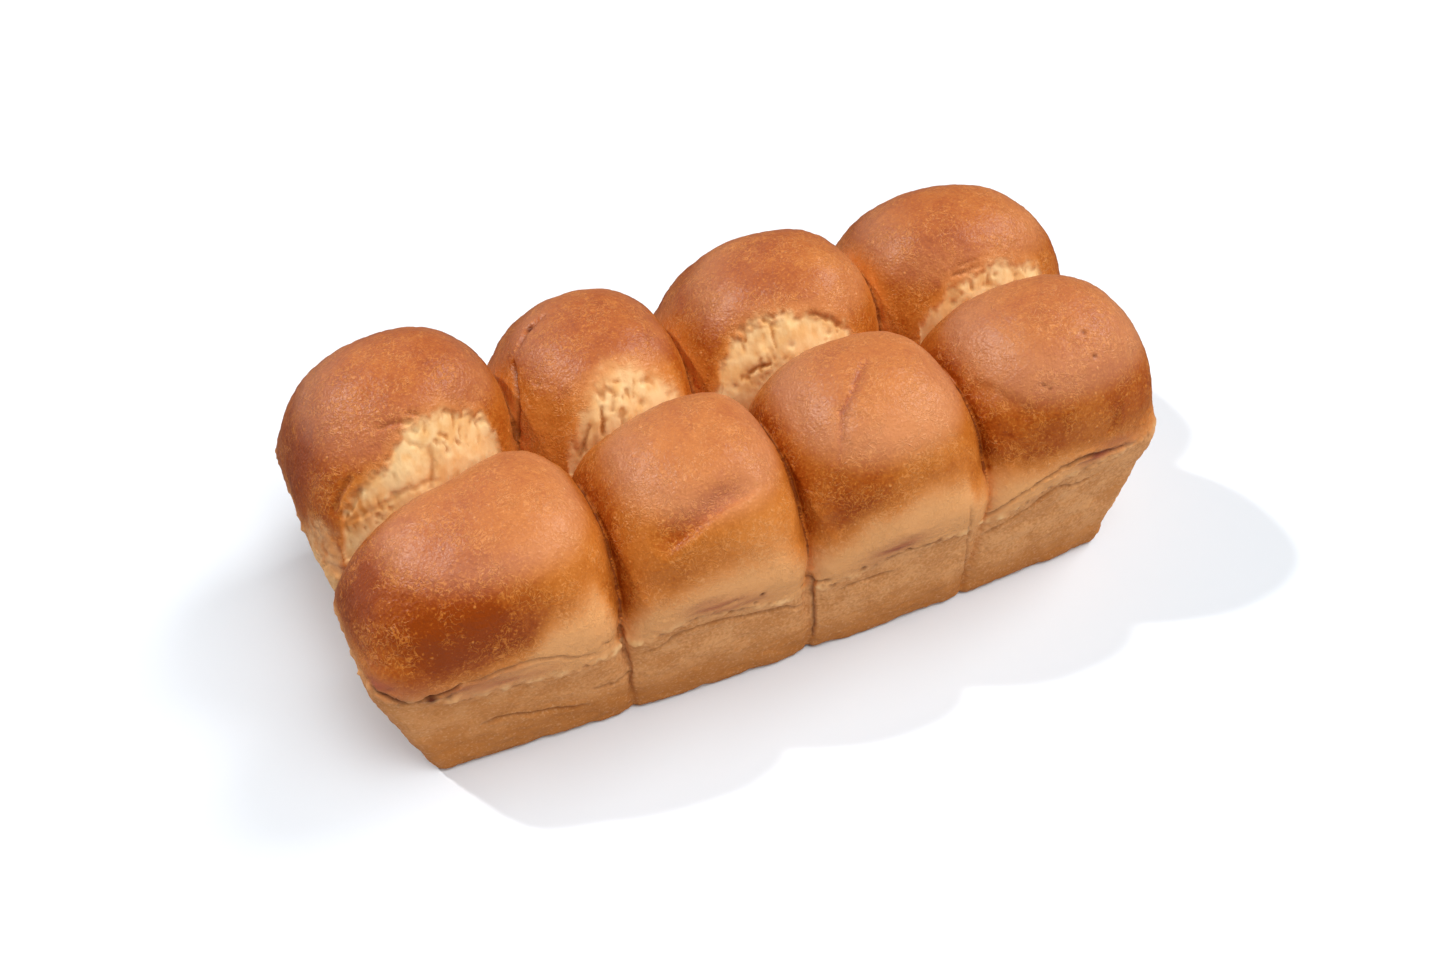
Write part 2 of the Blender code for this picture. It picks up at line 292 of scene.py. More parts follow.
@dataclass(frozen=True)
class DoughBall:
    """One ball of dough: square where the tin and its neighbours held it, and domed above."""

    tin: Tin
    rise: Rise
    side: Side
    floor: tuple
    rim: tuple
    saddles: tuple
    top: float
    lean: float
    shoulder: float
    ends: tuple
    spans: int = 48
    wall_spans: int = 20
    wall_levels: tuple = mm(0, 1, 3, 15, 31, 39, 45, 54)

    @property
    def middle(self) -> float:
        """The ball's middle along the loaf, at the rim."""
        return (self.rim[0] + self.rim[1]) / 2

    def side_reach(self, z: np.ndarray, hand: int) -> np.ndarray:
        """How far the ball reaches along X from its middle.

        Args:
            z: Heights.
            hand: 0 for the left, 1 for the right.

        Returns:
            The reach at each height.
        """
        seam = np.abs(self.tin.side(z, self.floor[hand], self.rim[hand]) - self.middle)
        saddle = self.saddles[hand]
        if saddle is None:
            bulge = abs(self.ends[hand] - self.rim[hand])
            start = self.tin.rim_height - self.rise.bulge_start
            return seam + bulge * smoothstep(z, start, self.rise.widest) - self.tin.base_tuck(z)
        half = abs(self.rim[hand] - self.middle)
        overlap = half / self.rise.dome_share(saddle, self.top, self.rise.dome_profile) - half
        return seam + self.overlap(z, overlap)

    def overlap(self, z: np.ndarray, full: np.ndarray) -> np.ndarray:
        """How far the ball reaches into its neighbour, little at the floor and fully at its widest."""
        rise = self.rise
        return mix(rise.floor_overlap, full, smoothstep(z, rise.overlap_start, rise.widest))

    def outer_reach(self, z: np.ndarray, x: np.ndarray) -> np.ndarray:
        """How far the ball reaches from the row's middle to the tin's long side.

        Args:
            z: Heights.
            x: Places along the loaf.

        Returns:
            The reach at each place.
        """
        tin = self.tin
        wall = tin.side(z, tin.floor_width / 2, tin.rim_width / 2)
        to_end = tin.floor_length / 2 - np.copysign(tin.bow_middle, x - tin.bow_middle)
        bow = tin.side_bow * (1 - np.minimum(np.abs(x - tin.bow_middle) / to_end, 1.0) ** 2)
        start = tin.rim_height - self.rise.bulge_start
        bulge = self.rise.bulge * smoothstep(z, start, self.rise.widest)
        lip = tin.rim_lip * (smoothstep(z - along(tin.rim_line, x), *tin.lip_turn) - 1)
        return wall - self.rise.row_middle + bow + bulge + lip - tin.base_tuck(z)

    def inner_reach(self, z: np.ndarray, x: np.ndarray, profile: np.ndarray) -> np.ndarray:
        """How far the ball reaches from the row's middle over the valley between the rows.

        Args:
            z: Heights.
            x: Places along the loaf.
            profile: Power of the dome's side view at each place.

        Returns:
            The reach at each place.
        """
        across, height = self.rise.valley_at(x)
        half = self.rise.row_middle - self.side.value * across
        return half + self.overlap(z, half / self.rise.dome_share(height, self.top, profile) - half)

    def corner_power(self, z: np.ndarray, at_end: np.ndarray) -> np.ndarray:
        """Power of the corner in plan: square in the tin, rounder towards the top.

        Args:
            z: Heights.
            at_end: Whether each place is at a corner of the tin.

        Returns:
            The power at each place.
        """
        rise = self.rise
        low = np.where(at_end, rise.tin_corner, rise.seam_corner)
        rim = np.where(at_end, rise.rim_corner, rise.rim_seam)
        in_tin = mix(low, rim, np.clip(z / self.tin.rim_height, 0.0, 1.0))
        rounding = smoothstep(z, self.tin.rim_height, rise.widest + rise.rounded_above)
        dome = mix(in_tin, rise.dome_corner, rounding)
        return mix(dome, rise.top_corner, smoothstep(z, rise.widest, self.top))

    def profile(self, cube: np.ndarray, power: np.ndarray) -> tuple:
        """Height, and share of the widest reach, where points of the cube come on the ball.

        Args:
            cube: Points of a cube from -1 to 1.
            power: Power of the dome's side view at each point.

        Returns:
            The heights and the shares.
        """
        ring = np.maximum(np.abs(cube[:, 0]), np.abs(cube[:, 1]))
        w = cube[:, 2]
        shoulder = -1 + 2 * self.wall_spans / self.spans
        share_up = (w + 1) / (1 + shoulder)
        levels = np.linspace(0.0, 1.0, len(self.wall_levels))
        wall_z = np.interp(share_up, levels, self.wall_levels)
        on_side = (ring > 1 - TINY) & (w < 1 - TINY)
        up_side = self.rise.side_angle * (w - shoulder) / (1 - shoulder)
        angle = np.where(on_side, up_side, mix(math.pi / 2, self.rise.side_angle, ring))
        c = np.maximum(np.cos(angle), 0.0)
        s = np.maximum(np.sin(angle), 0.0)
        size = (c**power + s**power) ** (1 / power)
        on_wall = w <= shoulder + TINY
        z = np.where(on_wall, wall_z, mix(self.rise.widest, self.top, s / size))
        return z, np.where(on_wall, ring, c / size)

    def place(self, cube: np.ndarray) -> np.ndarray:
        """Moves points of a cube to their place on the ball of dough.

        Args:
            cube: Points of a cube from -1 to 1.

        Returns:
            The points on the ball.
        """
        u, v = cube[:, 0], cube[:, 1]
        ring = np.maximum(np.abs(u), np.abs(v))
        centred = ring < TINY
        edge_u = np.where(centred, 1.0, u / np.maximum(ring, TINY))
        edge_v = np.where(centred, 0.0, v / np.maximum(ring, TINY))
        row = self.side.value
        inner = v * row < 0
        inward = smoothstep(-edge_v * row, 0.0, 1.0) if self.side is Side.BACK else np.zeros(len(cube))
        power = mix(self.rise.dome_profile, self.rise.torn_profile, inward)
        z, share = self.profile(cube, power)
        level = np.clip(z, 0.0, self.rise.widest)
        open_end = np.where(u < 0, self.saddles[0] is None, self.saddles[1] is None)
        corner = self.corner_power(z, open_end & ~inner)
        turn = (np.abs(edge_u) ** corner + np.abs(edge_v) ** corner) ** (-1 / corner)
        reach_x = np.where(u < 0, self.side_reach(level, 0), self.side_reach(level, 1))
        x = self.middle + reach_x * edge_u * turn * share
        reach_y = np.where(inner, self.inner_reach(level, x, power), self.outer_reach(level, x))
        y = row * self.rise.row_middle + reach_y * edge_v * turn * share
        up = np.maximum(z - self.tin.rim_height, 0.0) / (self.top - self.tin.rim_height)
        z = z + np.maximum(z - self.rise.widest, 0.0) * self.shoulder * edge_u * share
        return np.stack((x + self.lean * up, y, z), axis=1)

    def build(self) -> bmesh.types.BMesh:
        """Builds the ball.

        Returns:
            The ball as a closed mesh.
        """
        bm = bmesh.new()
        bmesh.ops.create_cube(bm, size=2)
        bmesh.ops.subdivide_edges(bm, edges=bm.edges[:], cuts=self.spans - 1, use_grid_fill=True)
        places = self.place(np.array([vert.co for vert in bm.verts]))
        for vert, place in zip(bm.verts, places):
            vert.co = place
        bmesh.ops.recalc_face_normals(bm, faces=bm.faces)
        return bm


@dataclass(frozen=True)
class DoughRow:
    """Four balls between five seams, left to right."""

    side: Side
    floor: tuple
    rim: tuple
    saddles: tuple
    tops: tuple
    leans: tuple
    shoulders: tuple
    ends: tuple

    def balls(self, tin: Tin, rise: Rise) -> list:
        """Sets out the four balls.

        Args:
            tin: The tin that holds them.
            rise: How they rose.

        Returns:
            The balls, each with the saddles on its left and right.
        """
        saddles = (None, *self.saddles, None)
        return [
            DoughBall(
                tin=tin,
                rise=rise,
                side=self.side,
                floor=self.floor[i : i + 2],
                rim=self.rim[i : i + 2],
                saddles=saddles[i : i + 2],
                top=top,
                lean=self.leans[i],
                shoulder=self.shoulders[i],
                ends=self.ends,
            )
            for i, top in enumerate(self.tops)
        ]


FRONT_ROW = DoughRow(
    side=Side.FRONT,
    floor=mm(-125, -57, 7, 66, 125),
    rim=mm(-139.5, -60, 4, 70, 138.5),
    saddles=mm(64, 70, 77),
    tops=mm(88, 91, 95, 97),
    leans=mm(6, 3, 1, 4),
    shoulders=(0.10, 0.08, 0.03, 0.03),
    ends=(Rise.left, 141.5 * MM),
)
BACK_ROW = DoughRow(
    side=Side.BACK,
    floor=mm(-125, -66, -8, 60, 125),
    rim=mm(-139.5, -67, -4, 68, 138.5),
    saddles=mm(64, 65, 71),
    tops=mm(97, 89, 93, 94.5),
    leans=mm(4, 4, 6, 3),
    shoulders=(0.02, 0.02, 0.08, 0.0),
    ends=(Rise.left, Rise.right),
)


@dataclass(frozen=True)
class Fold:
    """A fold, slit or wrinkle along a path of (x, y, z) or (x, z) points, in millimetres.

    It is `soft` wide on one side and `steep` wide on the other, the side that `towards` points to.
    Its sides stand up by `lips` of its depth, and it fades out over more of its length where `taper`
    is low.
    """

    path: tuple
    depth: float
    soft: float
    steep: float
    dark: float = 0.0
    lips: float = 0.0
    towards: tuple = (0.0, 0.0, -1.0)
    taper: int = 8
    turn: tuple = (-0.5, 0.5)
    off_skin: float = 5.0

    def read(self, points: np.ndarray, normals: np.ndarray | None = None) -> tuple:
        """Finds how deep the fold is, and how much its lips stand up.

        Args:
            points: Places, in as many dimensions as the path has, in metres.
            normals: Normals of the skin, for a path that lies a little under or over it.

        Returns:
            The share of the fold's depth at each place, and the share of its lips' height.
        """
        offset, share = path_offset(points / MM, self.path)
        if normals is not None:
            offset = along_skin(offset, normals, self.off_skin)
        side = offset @ np.array(self.towards[-points.shape[1] :])
        width = mix(self.soft, self.steep, smoothstep(side, *self.turn))
        away = np.linalg.norm(offset, axis=1)
        full = 1 - np.abs(2 * share - 1) ** self.taper
        return full * hump(away, width), full * hump(away - 2 * width, width)


@dataclass(frozen=True)
class Spot:
    """A round spot of the skin: centre, radius and depth in millimetres, and change of colour."""

    centre: tuple
    radius: float
    depth: float = 0.0
    colour: float = 0.0
    off_skin: float = 3.0

    def read(self, points: np.ndarray, normals: np.ndarray | None = None) -> np.ndarray:
        """Finds the share of the spot at each place.

        Args:
            points: Places, in metres.
            normals: Normals of the skin, for a spot that lies a little under or over it.

        Returns:
            The share, 1 in the middle.
        """
        offset = points / MM - np.array(self.centre)
        if normals is not None:
            offset = along_skin(offset, normals, self.off_skin)
        return hump(np.linalg.norm(offset, axis=1), self.radius)


# Each Fold below gives its path, depth, soft width, steep width, darkness and lips, in this order

# Folds of the front domes: across the second, down the third, and a dent and wrinkles on the fourth;
# their darkness is painted shade in the fold
FOLDS = (
    Fold(
        ((-46, -61, 70), (-42.2, -60.9, 73.3), (-37.3, -60, 76), (-32.5, -59.2, 78.2),
         (-27.9, -58.7, 80.4), (-23.2, -57.7, 81.4), (-18, -56.7, 81.8), (-11, -55.2, 82)),
        3.3, 6.2, 2.0, 0.2, taper=3,
    ),
    Fold(
        ((39, -28, 94), (37.1, -31.2, 94), (29.2, -39, 92), (23.1, -43.6, 89.5), (20.5, -48.4, 86),
         (16, -55, 79)),
        2.5, 2.2, 0.7, 0.4, taper=4, towards=(-1.0, 0.0, 0.0),
    ),
    Fold(((23.5, -46, 89), (27.2, -48.7, 89.6), (30.5, -51.5, 90)), 0.6, 1.0, 0.8, 0.1),
    Fold(
        ((75, -40, 79), (76.1, -42.1, 79), (78.2, -46.1, 80), (79.7, -49.8, 80.8),
         (81.5, -53.7, 80.7), (86, -61, 77)),
        1.0, 4.0, 2.0, towards=(1.0, 0.0, 0.0),
    ),
    Fold(((71, -43, 71), (75.4, -47.5, 74.4)), 0.7, 0.9, 0.9, 0.25),
    Fold(((69, -48.5, 68.6), (75, -51, 70.5)), 0.7, 0.9, 0.9, 0.25),
    Fold(((75, -53.5, 69), (80, -60.5, 72)), 0.7, 0.9, 0.9, 0.25),
    Fold(((69, -61, 59), (74, -58, 59.3)), 0.7, 0.9, 0.9, 0.25),
    Fold(((116.8, -65.2, 71.4), (115.7, -66.1, 67.8), (113, -66.9, 64)), 0.8, 1.4, 0.9, 0.08),
)

# Slits and torn lips of the back domes, and the dark line beside the second dome's fold; the dark in
# them is painted shade
SLITS = (
    Fold(((-114, 10, 88), (-107.8, 8.6, 90), (-101, 7.8, 89.6)), 1.0, 1.2, 0.7, 0.22, taper=3),
    Fold(((-102, 11, 92), (-99.8, 9.8, 91), (-97.5, 9.3, 90)), 1.0, 1.1, 0.7, 0.2, taper=3),
    Fold(
        ((-98, 4, 83), (-98.5, 1.6, 77.6), (-99.4, -0.5, 73.6), (-101.4, -3, 69)),
        0.6, 1.2, 0.9, 0.36,
    ),
    Fold(
        ((-131, -3.5, 65), (-124, -3.6, 68), (-116.7, -3.7, 69.2), (-109, -2.9, 72),
         (-103, -2.3, 72.5), (-97, -1, 71)),
        0.55, 1.1, 0.8, 0.28,
    ),
    Fold(((-107, 8, 89), (-103.8, 4.9, 84.6), (-99.4, 2.5, 81.5)), 0.5, 1.0, 0.8, 0.24),
    Fold(
        ((-132, 0, 68.3), (-129.3, 1.3, 72.7), (-126.3, 2.2, 75.9), (-123, 3.3, 78)),
        0.9, 1.3, 0.9, 0.38,
    ),
    Fold(((-127, -2, 69.5), (-124.5, -0.5, 73), (-121, 0.8, 75.5)), 0.9, 1.1, 0.8, 0.4),
    Fold(((-39, 5, 76.5), (-40.3, 2.5, 71.8), (-41, 0, 67)), 1.0, 0.8, 0.6, 0.62),
    Fold(((-44, 3, 71), (-47.3, 0.8, 66.1), (-50, 0, 60)), 0.8, 0.9, 0.8, 0.45),
    Fold(((-34.4, 6, 78), (-36.5, 3.4, 73)), 0.8, 0.8, 0.7, 0.45),
    Fold(((38, 9.8, 84.5), (45, 8, 82), (50, 6, 78)), 0.8, 0.9, 0.7, 0.35),
    Fold(((23, 14, 85), (25.5, 12.2, 82.7), (28, 10.6, 81)), 0.9, 0.9, 0.7, 0.4),
    Fold(((14, 6.3, 69.3), (18.7, 6.3, 70.9), (24, 5.3, 72.8)), 1.0, 0.9, 0.7, 0.8),
    Fold(((95, 11, 81.5), (101, 10.2, 82.5), (107, 9.8, 84.6)), 0.6, 0.9, 0.7, 0.34),
    Fold(((98, 12.3, 84.2), (106, 11, 85.3)), 0.4, 0.8, 0.7, 0.22),
    Fold(
        ((-58.5, 38, 77), (-59.7, 29.9, 74.7), (-60.2, 25.3, 71.9), (-61.5, 21.5, 67.8),
         (-64, 19, 62), (-66, 18, 55)),
        1.5, 1.6, 0.8, 0.45, towards=(1.0, 0.0, 0.0),
    ),
    Fold(((-43, 47, 87), (-50, 44, 83), (-57, 39, 79)), 0.9, 1.4, 1.0, 0.25),
)

# Cracks of the front, as (x, z): along the rim of each ball, down each seam, and across the walls; the
# dark in them is painted shade
CRACKS = (
    Fold(
        ((-139, 52), (-134, 49), (-130, 46), (-124, 47), (-119, 47), (-113, 49)),
        1.8, 0.8, 0.8, 1.0, 0.4,
    ),
    Fold(
        ((-113, 49), (-107, 48), (-100, 50), (-92, 50.5), (-83, 48), (-75, 43), (-68, 40)),
        0.7, 0.8, 0.8, 0.3, 0.4,
    ),
    Fold(
        ((-110, 20), (-105, 21.5), (-99, 21.5), (-93, 18), (-86, 17), (-78, 14), (-72, 13)),
        0.8, 0.8, 0.8, 0.4, 0.3,
    ),
    Fold(
        ((-69, 47), (-66, 43), (-63, 44), (-60, 42), (-59.5, 34), (-58.2, 26), (-58, 10)),
        0.6, 0.5, 0.5, 0.35, 0.3,
    ),
    Fold(((-72, 21), (-64, 20), (-57, 20.5)), 0.6, 0.6, 0.6, 0.4, 0.3),
    Fold(
        ((-56, 30), (-48, 33), (-41, 38), (-35, 38), (-27, 37), (-19, 34), (-4, 31), (5, 26)),
        0.8, 0.7, 0.7, 0.4, 0.4,
    ),
    Fold(((-46, 36), (-38, 43), (-30, 46), (-21, 48)), 0.6, 0.8, 0.8, 0.15, 0.4),
    Fold(((5, 42), (6, 33), (7, 20), (7.5, 6)), 0.9, 0.6, 0.6, 0.5, 0.3),
    Fold(((0, 39), (6, 38), (12, 39)), 0.8, 0.6, 0.6, 0.5, 0.3),
    Fold(((33, 40), (38, 42.5), (44, 42), (51, 42)), 0.9, 0.6, 0.6, 0.75, 0.4),
    Fold(((15, 31), (21, 32), (28, 31), (36, 31)), 0.7, 0.6, 0.6, 0.4, 0.3),
    Fold(((60, 56), (62, 45), (64, 34), (66, 18), (67, 6)), 0.7, 0.6, 0.6, 0.3, 0.3),
    Fold(
        ((67, 39), (73, 44), (79, 50), (86, 54), (91, 55.5), (103, 58.5), (112, 57), (130, 54)),
        0.9, 0.7, 0.7, 0.4, 0.4,
    ),
    Fold(((98, 58), (104, 59), (112, 57.5)), 1.2, 0.7, 0.7, 0.8, 0.4),
    Fold(
        ((70, 30), (76, 35), (87, 39), (93, 43), (97, 45), (107, 42), (114, 44)),
        0.9, 0.8, 0.8, 0.4, 0.4,
    ),
)

# Small holes, nicks and scorched spots; the dark is painted shade in the holes and nicks, and the
# scorched spots' own colour
HOLES = (
    Spot((-49.3, 44.3, 82), 1.5, 1.5, 1.0),
    Spot((-55.3, 20.5, 79), 1.1, 0.4, 0.25),
    Spot((-123, -65, 45), 2.2, 0.5, 1.0),
    Spot((-118, -65, 44), 1.8, 0.4, 0.7),
    Spot((-14.5, -69, 46), 1.0, 0.8, 0.8),
    Spot((-16.5, -68, 42), 0.8, 0.6, 0.6),
    Spot((22.4, -68, 41), 1.2, 0.5, 0.6),
    Spot((111.5, -46.9, 94.3), 0.9, 0.6, 0.6),
    Spot((111.5, -54.7, 89.8), 0.9, 0.6, 0.6),
    Spot((91.7, -56.3, 85.5), 0.8, 0.5, 0.5),
    Spot((93.1, -58, 84.6), 0.8, 0.5, 0.5),
    Spot((-112.8, -2.6, 71.8), 1.2, 0.9, 0.5),
    Spot((-101.3, 6.5, 86.3), 1.1, 0.9, 0.5),
    Spot((-78.4, 11.8, 78.2), 1.2, 0.9, 0.5),
    Spot((-128.8, -2, 69), 1.6, 1.0, 0.5),
    Spot((-119.3, -4.2, 65.9), 1.2, 0.9, 0.5),
    Spot((-93, 3.6, 77.2), 1.0, 0.8, 0.4),
    Spot((-26.2, 3.6, 73.2), 1.1, 0.8, 0.5),
    Spot((-23.9, 7.5, 77.8), 1.0, 0.8, 0.4),
    Spot((30.6, 12.8, 85.4), 0.9, 0.7, 0.4),
    Spot((9.5, 5.3, 65.5), 1.2, 0.8, 0.5),
    Spot((30.7, 6.1, 76.6), 1.1, 0.8, 0.4),
    Spot((44.4, 5.3, 77.8), 1.0, 0.8, 0.5),
    Spot((111.1, 7.3, 80), 1.0, 0.8, 0.5),
    Spot((119.5, 6.5, 77.4), 1.0, 0.8, 0.4),
    Spot((94.3, 6.1, 74.3), 1.1, 0.8, 0.5),
)

# Where the oven browned a dome more, or less, than the rest
BROWNING = (
    Spot((-110, -65, 69), 22, colour=0.3),
    Spot((-134, -34, 67), 18, colour=0.24),
    Spot((-140, 24, 74), 18, colour=0.15),
    Spot((-73, -50, 83), 15, colour=-0.16),
    Spot((-30, -46, 88), 17, colour=-0.08),
    Spot((-12, -66, 67), 16, colour=-0.24),
    Spot((42, -56, 87), 18, colour=-0.14),
    Spot((22, -64, 72), 12, colour=0.18),
    Spot((88, -62, 72), 15, colour=0.16),
    Spot((124, -60, 76), 16, colour=0.14),
    Spot((54, 22, 86), 15, colour=-0.16),
    Spot((128, 30, 84), 20, colour=-0.14),
    # Painted bounce light: paler crust in the valley between the first two back balls
    Spot((-58, 14, 66), 10, colour=-0.25),
)

# Where the heat reached bare crumb
TOASTED = (
    Spot((-129, 0, 71), 9, colour=1.0),
    Spot((-139, 12, 60), 10, colour=0.35),
    Spot((-97, 1, 75), 5, colour=0.1),
    Spot((-44, 1, 68), 5, colour=0.25),
    Spot((18, 7, 76), 9, colour=0.3),
)


@dataclass(frozen=True)
class Tear:
    """A place of torn crumb, under a line of (x, z) points, in millimetres.

    Its upper edge is `blend` wide, and the crust is paled over a width of `fade` above it.
    """

    top_line: tuple
    blend: float
    depth: float
    fade: float


# Torn crumb of the back row, ball by ball
TEARS = (
    Tear(
        ((-133, 58), (-128, 72), (-122.5, 77), (-113.4, 80.8), (-107.8, 86), (-102.3, 89.4),
         (-94, 89.1), (-90.9, 89.7), (-84, 85), (-77.4, 80.8), (-74.3, 72.5), (-72.7, 62)),
        blend=1.4, depth=1.3, fade=4,
    ),
    Tear(
        ((-54, 58), (-51.3, 64.7), (-45.8, 74.6), (-39.6, 81), (-33.1, 83.5), (-26, 82.8),
         (-19.1, 78.6), (-12.7, 72.7), (-8, 64)),
        blend=4.0, depth=0.9, fade=13,
    ),
    Tear(
        ((3, 62), (7.6, 71.7), (12.9, 79), (19, 83), (24.4, 85.2), (30.1, 86), (38.3, 85),
         (45.2, 83.5), (50.5, 80), (57, 70)),
        blend=1.5, depth=1.1, fade=5,
    ),
    Tear(
        ((81, 68), (86.8, 74.1), (94.6, 80.9), (100.2, 82.1), (106.5, 83.8), (111.7, 84.4),
         (124.8, 80), (130.2, 77.2), (134.5, 68)),
        blend=1.5, depth=1.1, fade=5,
    ),
)

# Brown patches above the rim: middle and half length along the loaf, in millimetres
BLUSHES = ((-134, 8), (-106, 18), (-28, 15), (33, 13), (116, 16))

# Lower edge of the browned domes on the long sides, as (x, z) in millimetres
BROWN_EDGE = (
    (-142, 51), (-125, 46), (-112, 46), (-95, 51), (-82, 61), (-68, 64), (-59, 45), (-49, 54),
    (-30, 60), (-9, 61), (3, 50), (8, 51), (26, 62), (44, 66), (58, 64), (64, 54), (77, 57),
    (98, 58), (118, 57), (132, 55), (143, 56),
)


@dataclass
class Survey:
    """What is known of each point of the joined skin before its relief."""

    points: np.ndarray
    normals: np.ndarray
    # Whether its ball lies in the back row, how much farther off the next ball is, and its ball's top
    back: np.ndarray
    gap: np.ndarray
    top: np.ndarray
    # How surely it faces the tin, its height above the tin's rim, and a noise that frays every edge
    outside: np.ndarray
    above_rim: np.ndarray
    ragged: np.ndarray
    # Share of the front domes' left flanks, which get painted shade by their seams and no painted
    # bounce light
    shaded_left_flank: np.ndarray


@dataclass(frozen=True)
class Oven:
    """What the oven did to the crust: its browning and blush, with painted shade and bounce light by
    the seams, and a painted sheen on the tops.
    """

    # Browning of each row and at its crown, and the edge where the crust starts; by the seams, painted
    # shade on the front row, most on left flanks, and painted bounce light on the back row
    front_bake: float = 0.79
    back_bake: float = 0.87
    front_shade: float = 0.1
    flank_shade: float = 0.15
    back_painted_bounce: float = 0.36
    shade_width: float = 5 * MM
    crown_bake: float = 0.04
    crown: tuple = mm(-9, -1)
    edge: tuple = mm(-6, 9)
    edge_wave: tuple = mm(1.5, 14)
    # Heat that came through the tin: at its floor, and towards its left end
    hot_floor: tuple = mm(3, 24)
    hot_end: tuple = mm(-20, 135)
    end_heat: float = 0.55
    # Painted sheen: a pinker tint on the tops that stands in for their gloss, starting a little higher
    # on a higher dome and weaker at the crown
    front_painted_sheen: float = 0.34
    back_painted_sheen: float = 0.22
    sheen_height: float = 88 * MM
    sheen_follows: float = 0.3
    sheen_start: tuple = mm(75, 83)
    spared: float = 0.45
    spared_crown: tuple = mm(-8, -1)
    # Blush above the rim, in flat streaks that wander along the loaf
    blush_most: float = 0.85
    blush_height: float = 6 * MM
    blush_width: float = 4.5 * MM
    blush_wander: tuple = (3.0, 9 * MM)
    streak_middle: float = 0.75
    streaks: tuple = (0.8, mm(14, 14, 2.5))

    def browning(self, at: Survey, wall: np.ndarray) -> np.ndarray:
        """Works out how much the oven browned each place, with painted shade and bounce light by the
        seams.

        Args:
            at: The survey.
            wall: Share of wall.

        Returns:
            0 for pale dough to 1 for the darkest crust; on the walls, 1 at the tin's hot floor.
        """
        x, _, z = at.points.T
        above = z - along(BROWN_EDGE, x / MM) * MM + COARSE.lumps(at.points, self.edge_wave)
        crust = np.where(at.outside > 0, smoothstep(above, *self.edge), 1.0)
        bake_and_shading = np.where(at.back, self.back_bake, self.front_bake)
        for spot in BROWNING:
            bake_and_shading = bake_and_shading + spot.colour * spot.read(at.points)
        # Painted shade by the front seams, most on the left flanks, and painted bounce light, as paler
        # crust, by the back seams
        shade = self.front_shade + self.flank_shade * at.shaded_left_flank
        bake_and_shading = bake_and_shading + np.where(at.back, -self.back_painted_bounce, shade) * hump(at.gap, self.shade_width)
        bake_and_shading = bake_and_shading + self.crown_bake * smoothstep(z - at.top, *self.crown)
        hot = 1 - smoothstep(z, *self.hot_floor) + self.end_heat * smoothstep(-x, *self.hot_end)
        return mix(crust * bake_and_shading, hot, wall)

    def painted_sheen_share(self, at: Survey) -> np.ndarray:
        """Finds the painted sheen on the domes' tops: a pinker, paler tint that stands in for their
        gloss.

        Args:
            at: The survey.

        Returns:
            The share of painted sheen at each place.
        """
        z = at.points[:, 2]
        high = smoothstep(z - self.sheen_follows * (at.top - self.sheen_height), *self.sheen_start)
        spared = 1 - self.spared * smoothstep(z - at.top, *self.spared_crown)
        return np.where(at.back, self.back_painted_sheen, self.front_painted_sheen) * high * spared

    def blush(self, at: Survey) -> np.ndarray:
        """Finds the uneven brown that the hot rim gave the dough above it.

        Args:
            at: The survey.

        Returns:
            The share of that brown at each place.
        """
        x = at.points[:, 0] / MM + COARSE.lumps(at.points, self.blush_wander)
        places = sum(hump(x - middle, half) for middle, half in BLUSHES)
        streaks = self.streak_middle + FINE.lumps(at.points, self.streaks)
        band = hump(at.above_rim - self.blush_height, self.blush_width)
        return self.blush_most * places * streaks * band * at.outside


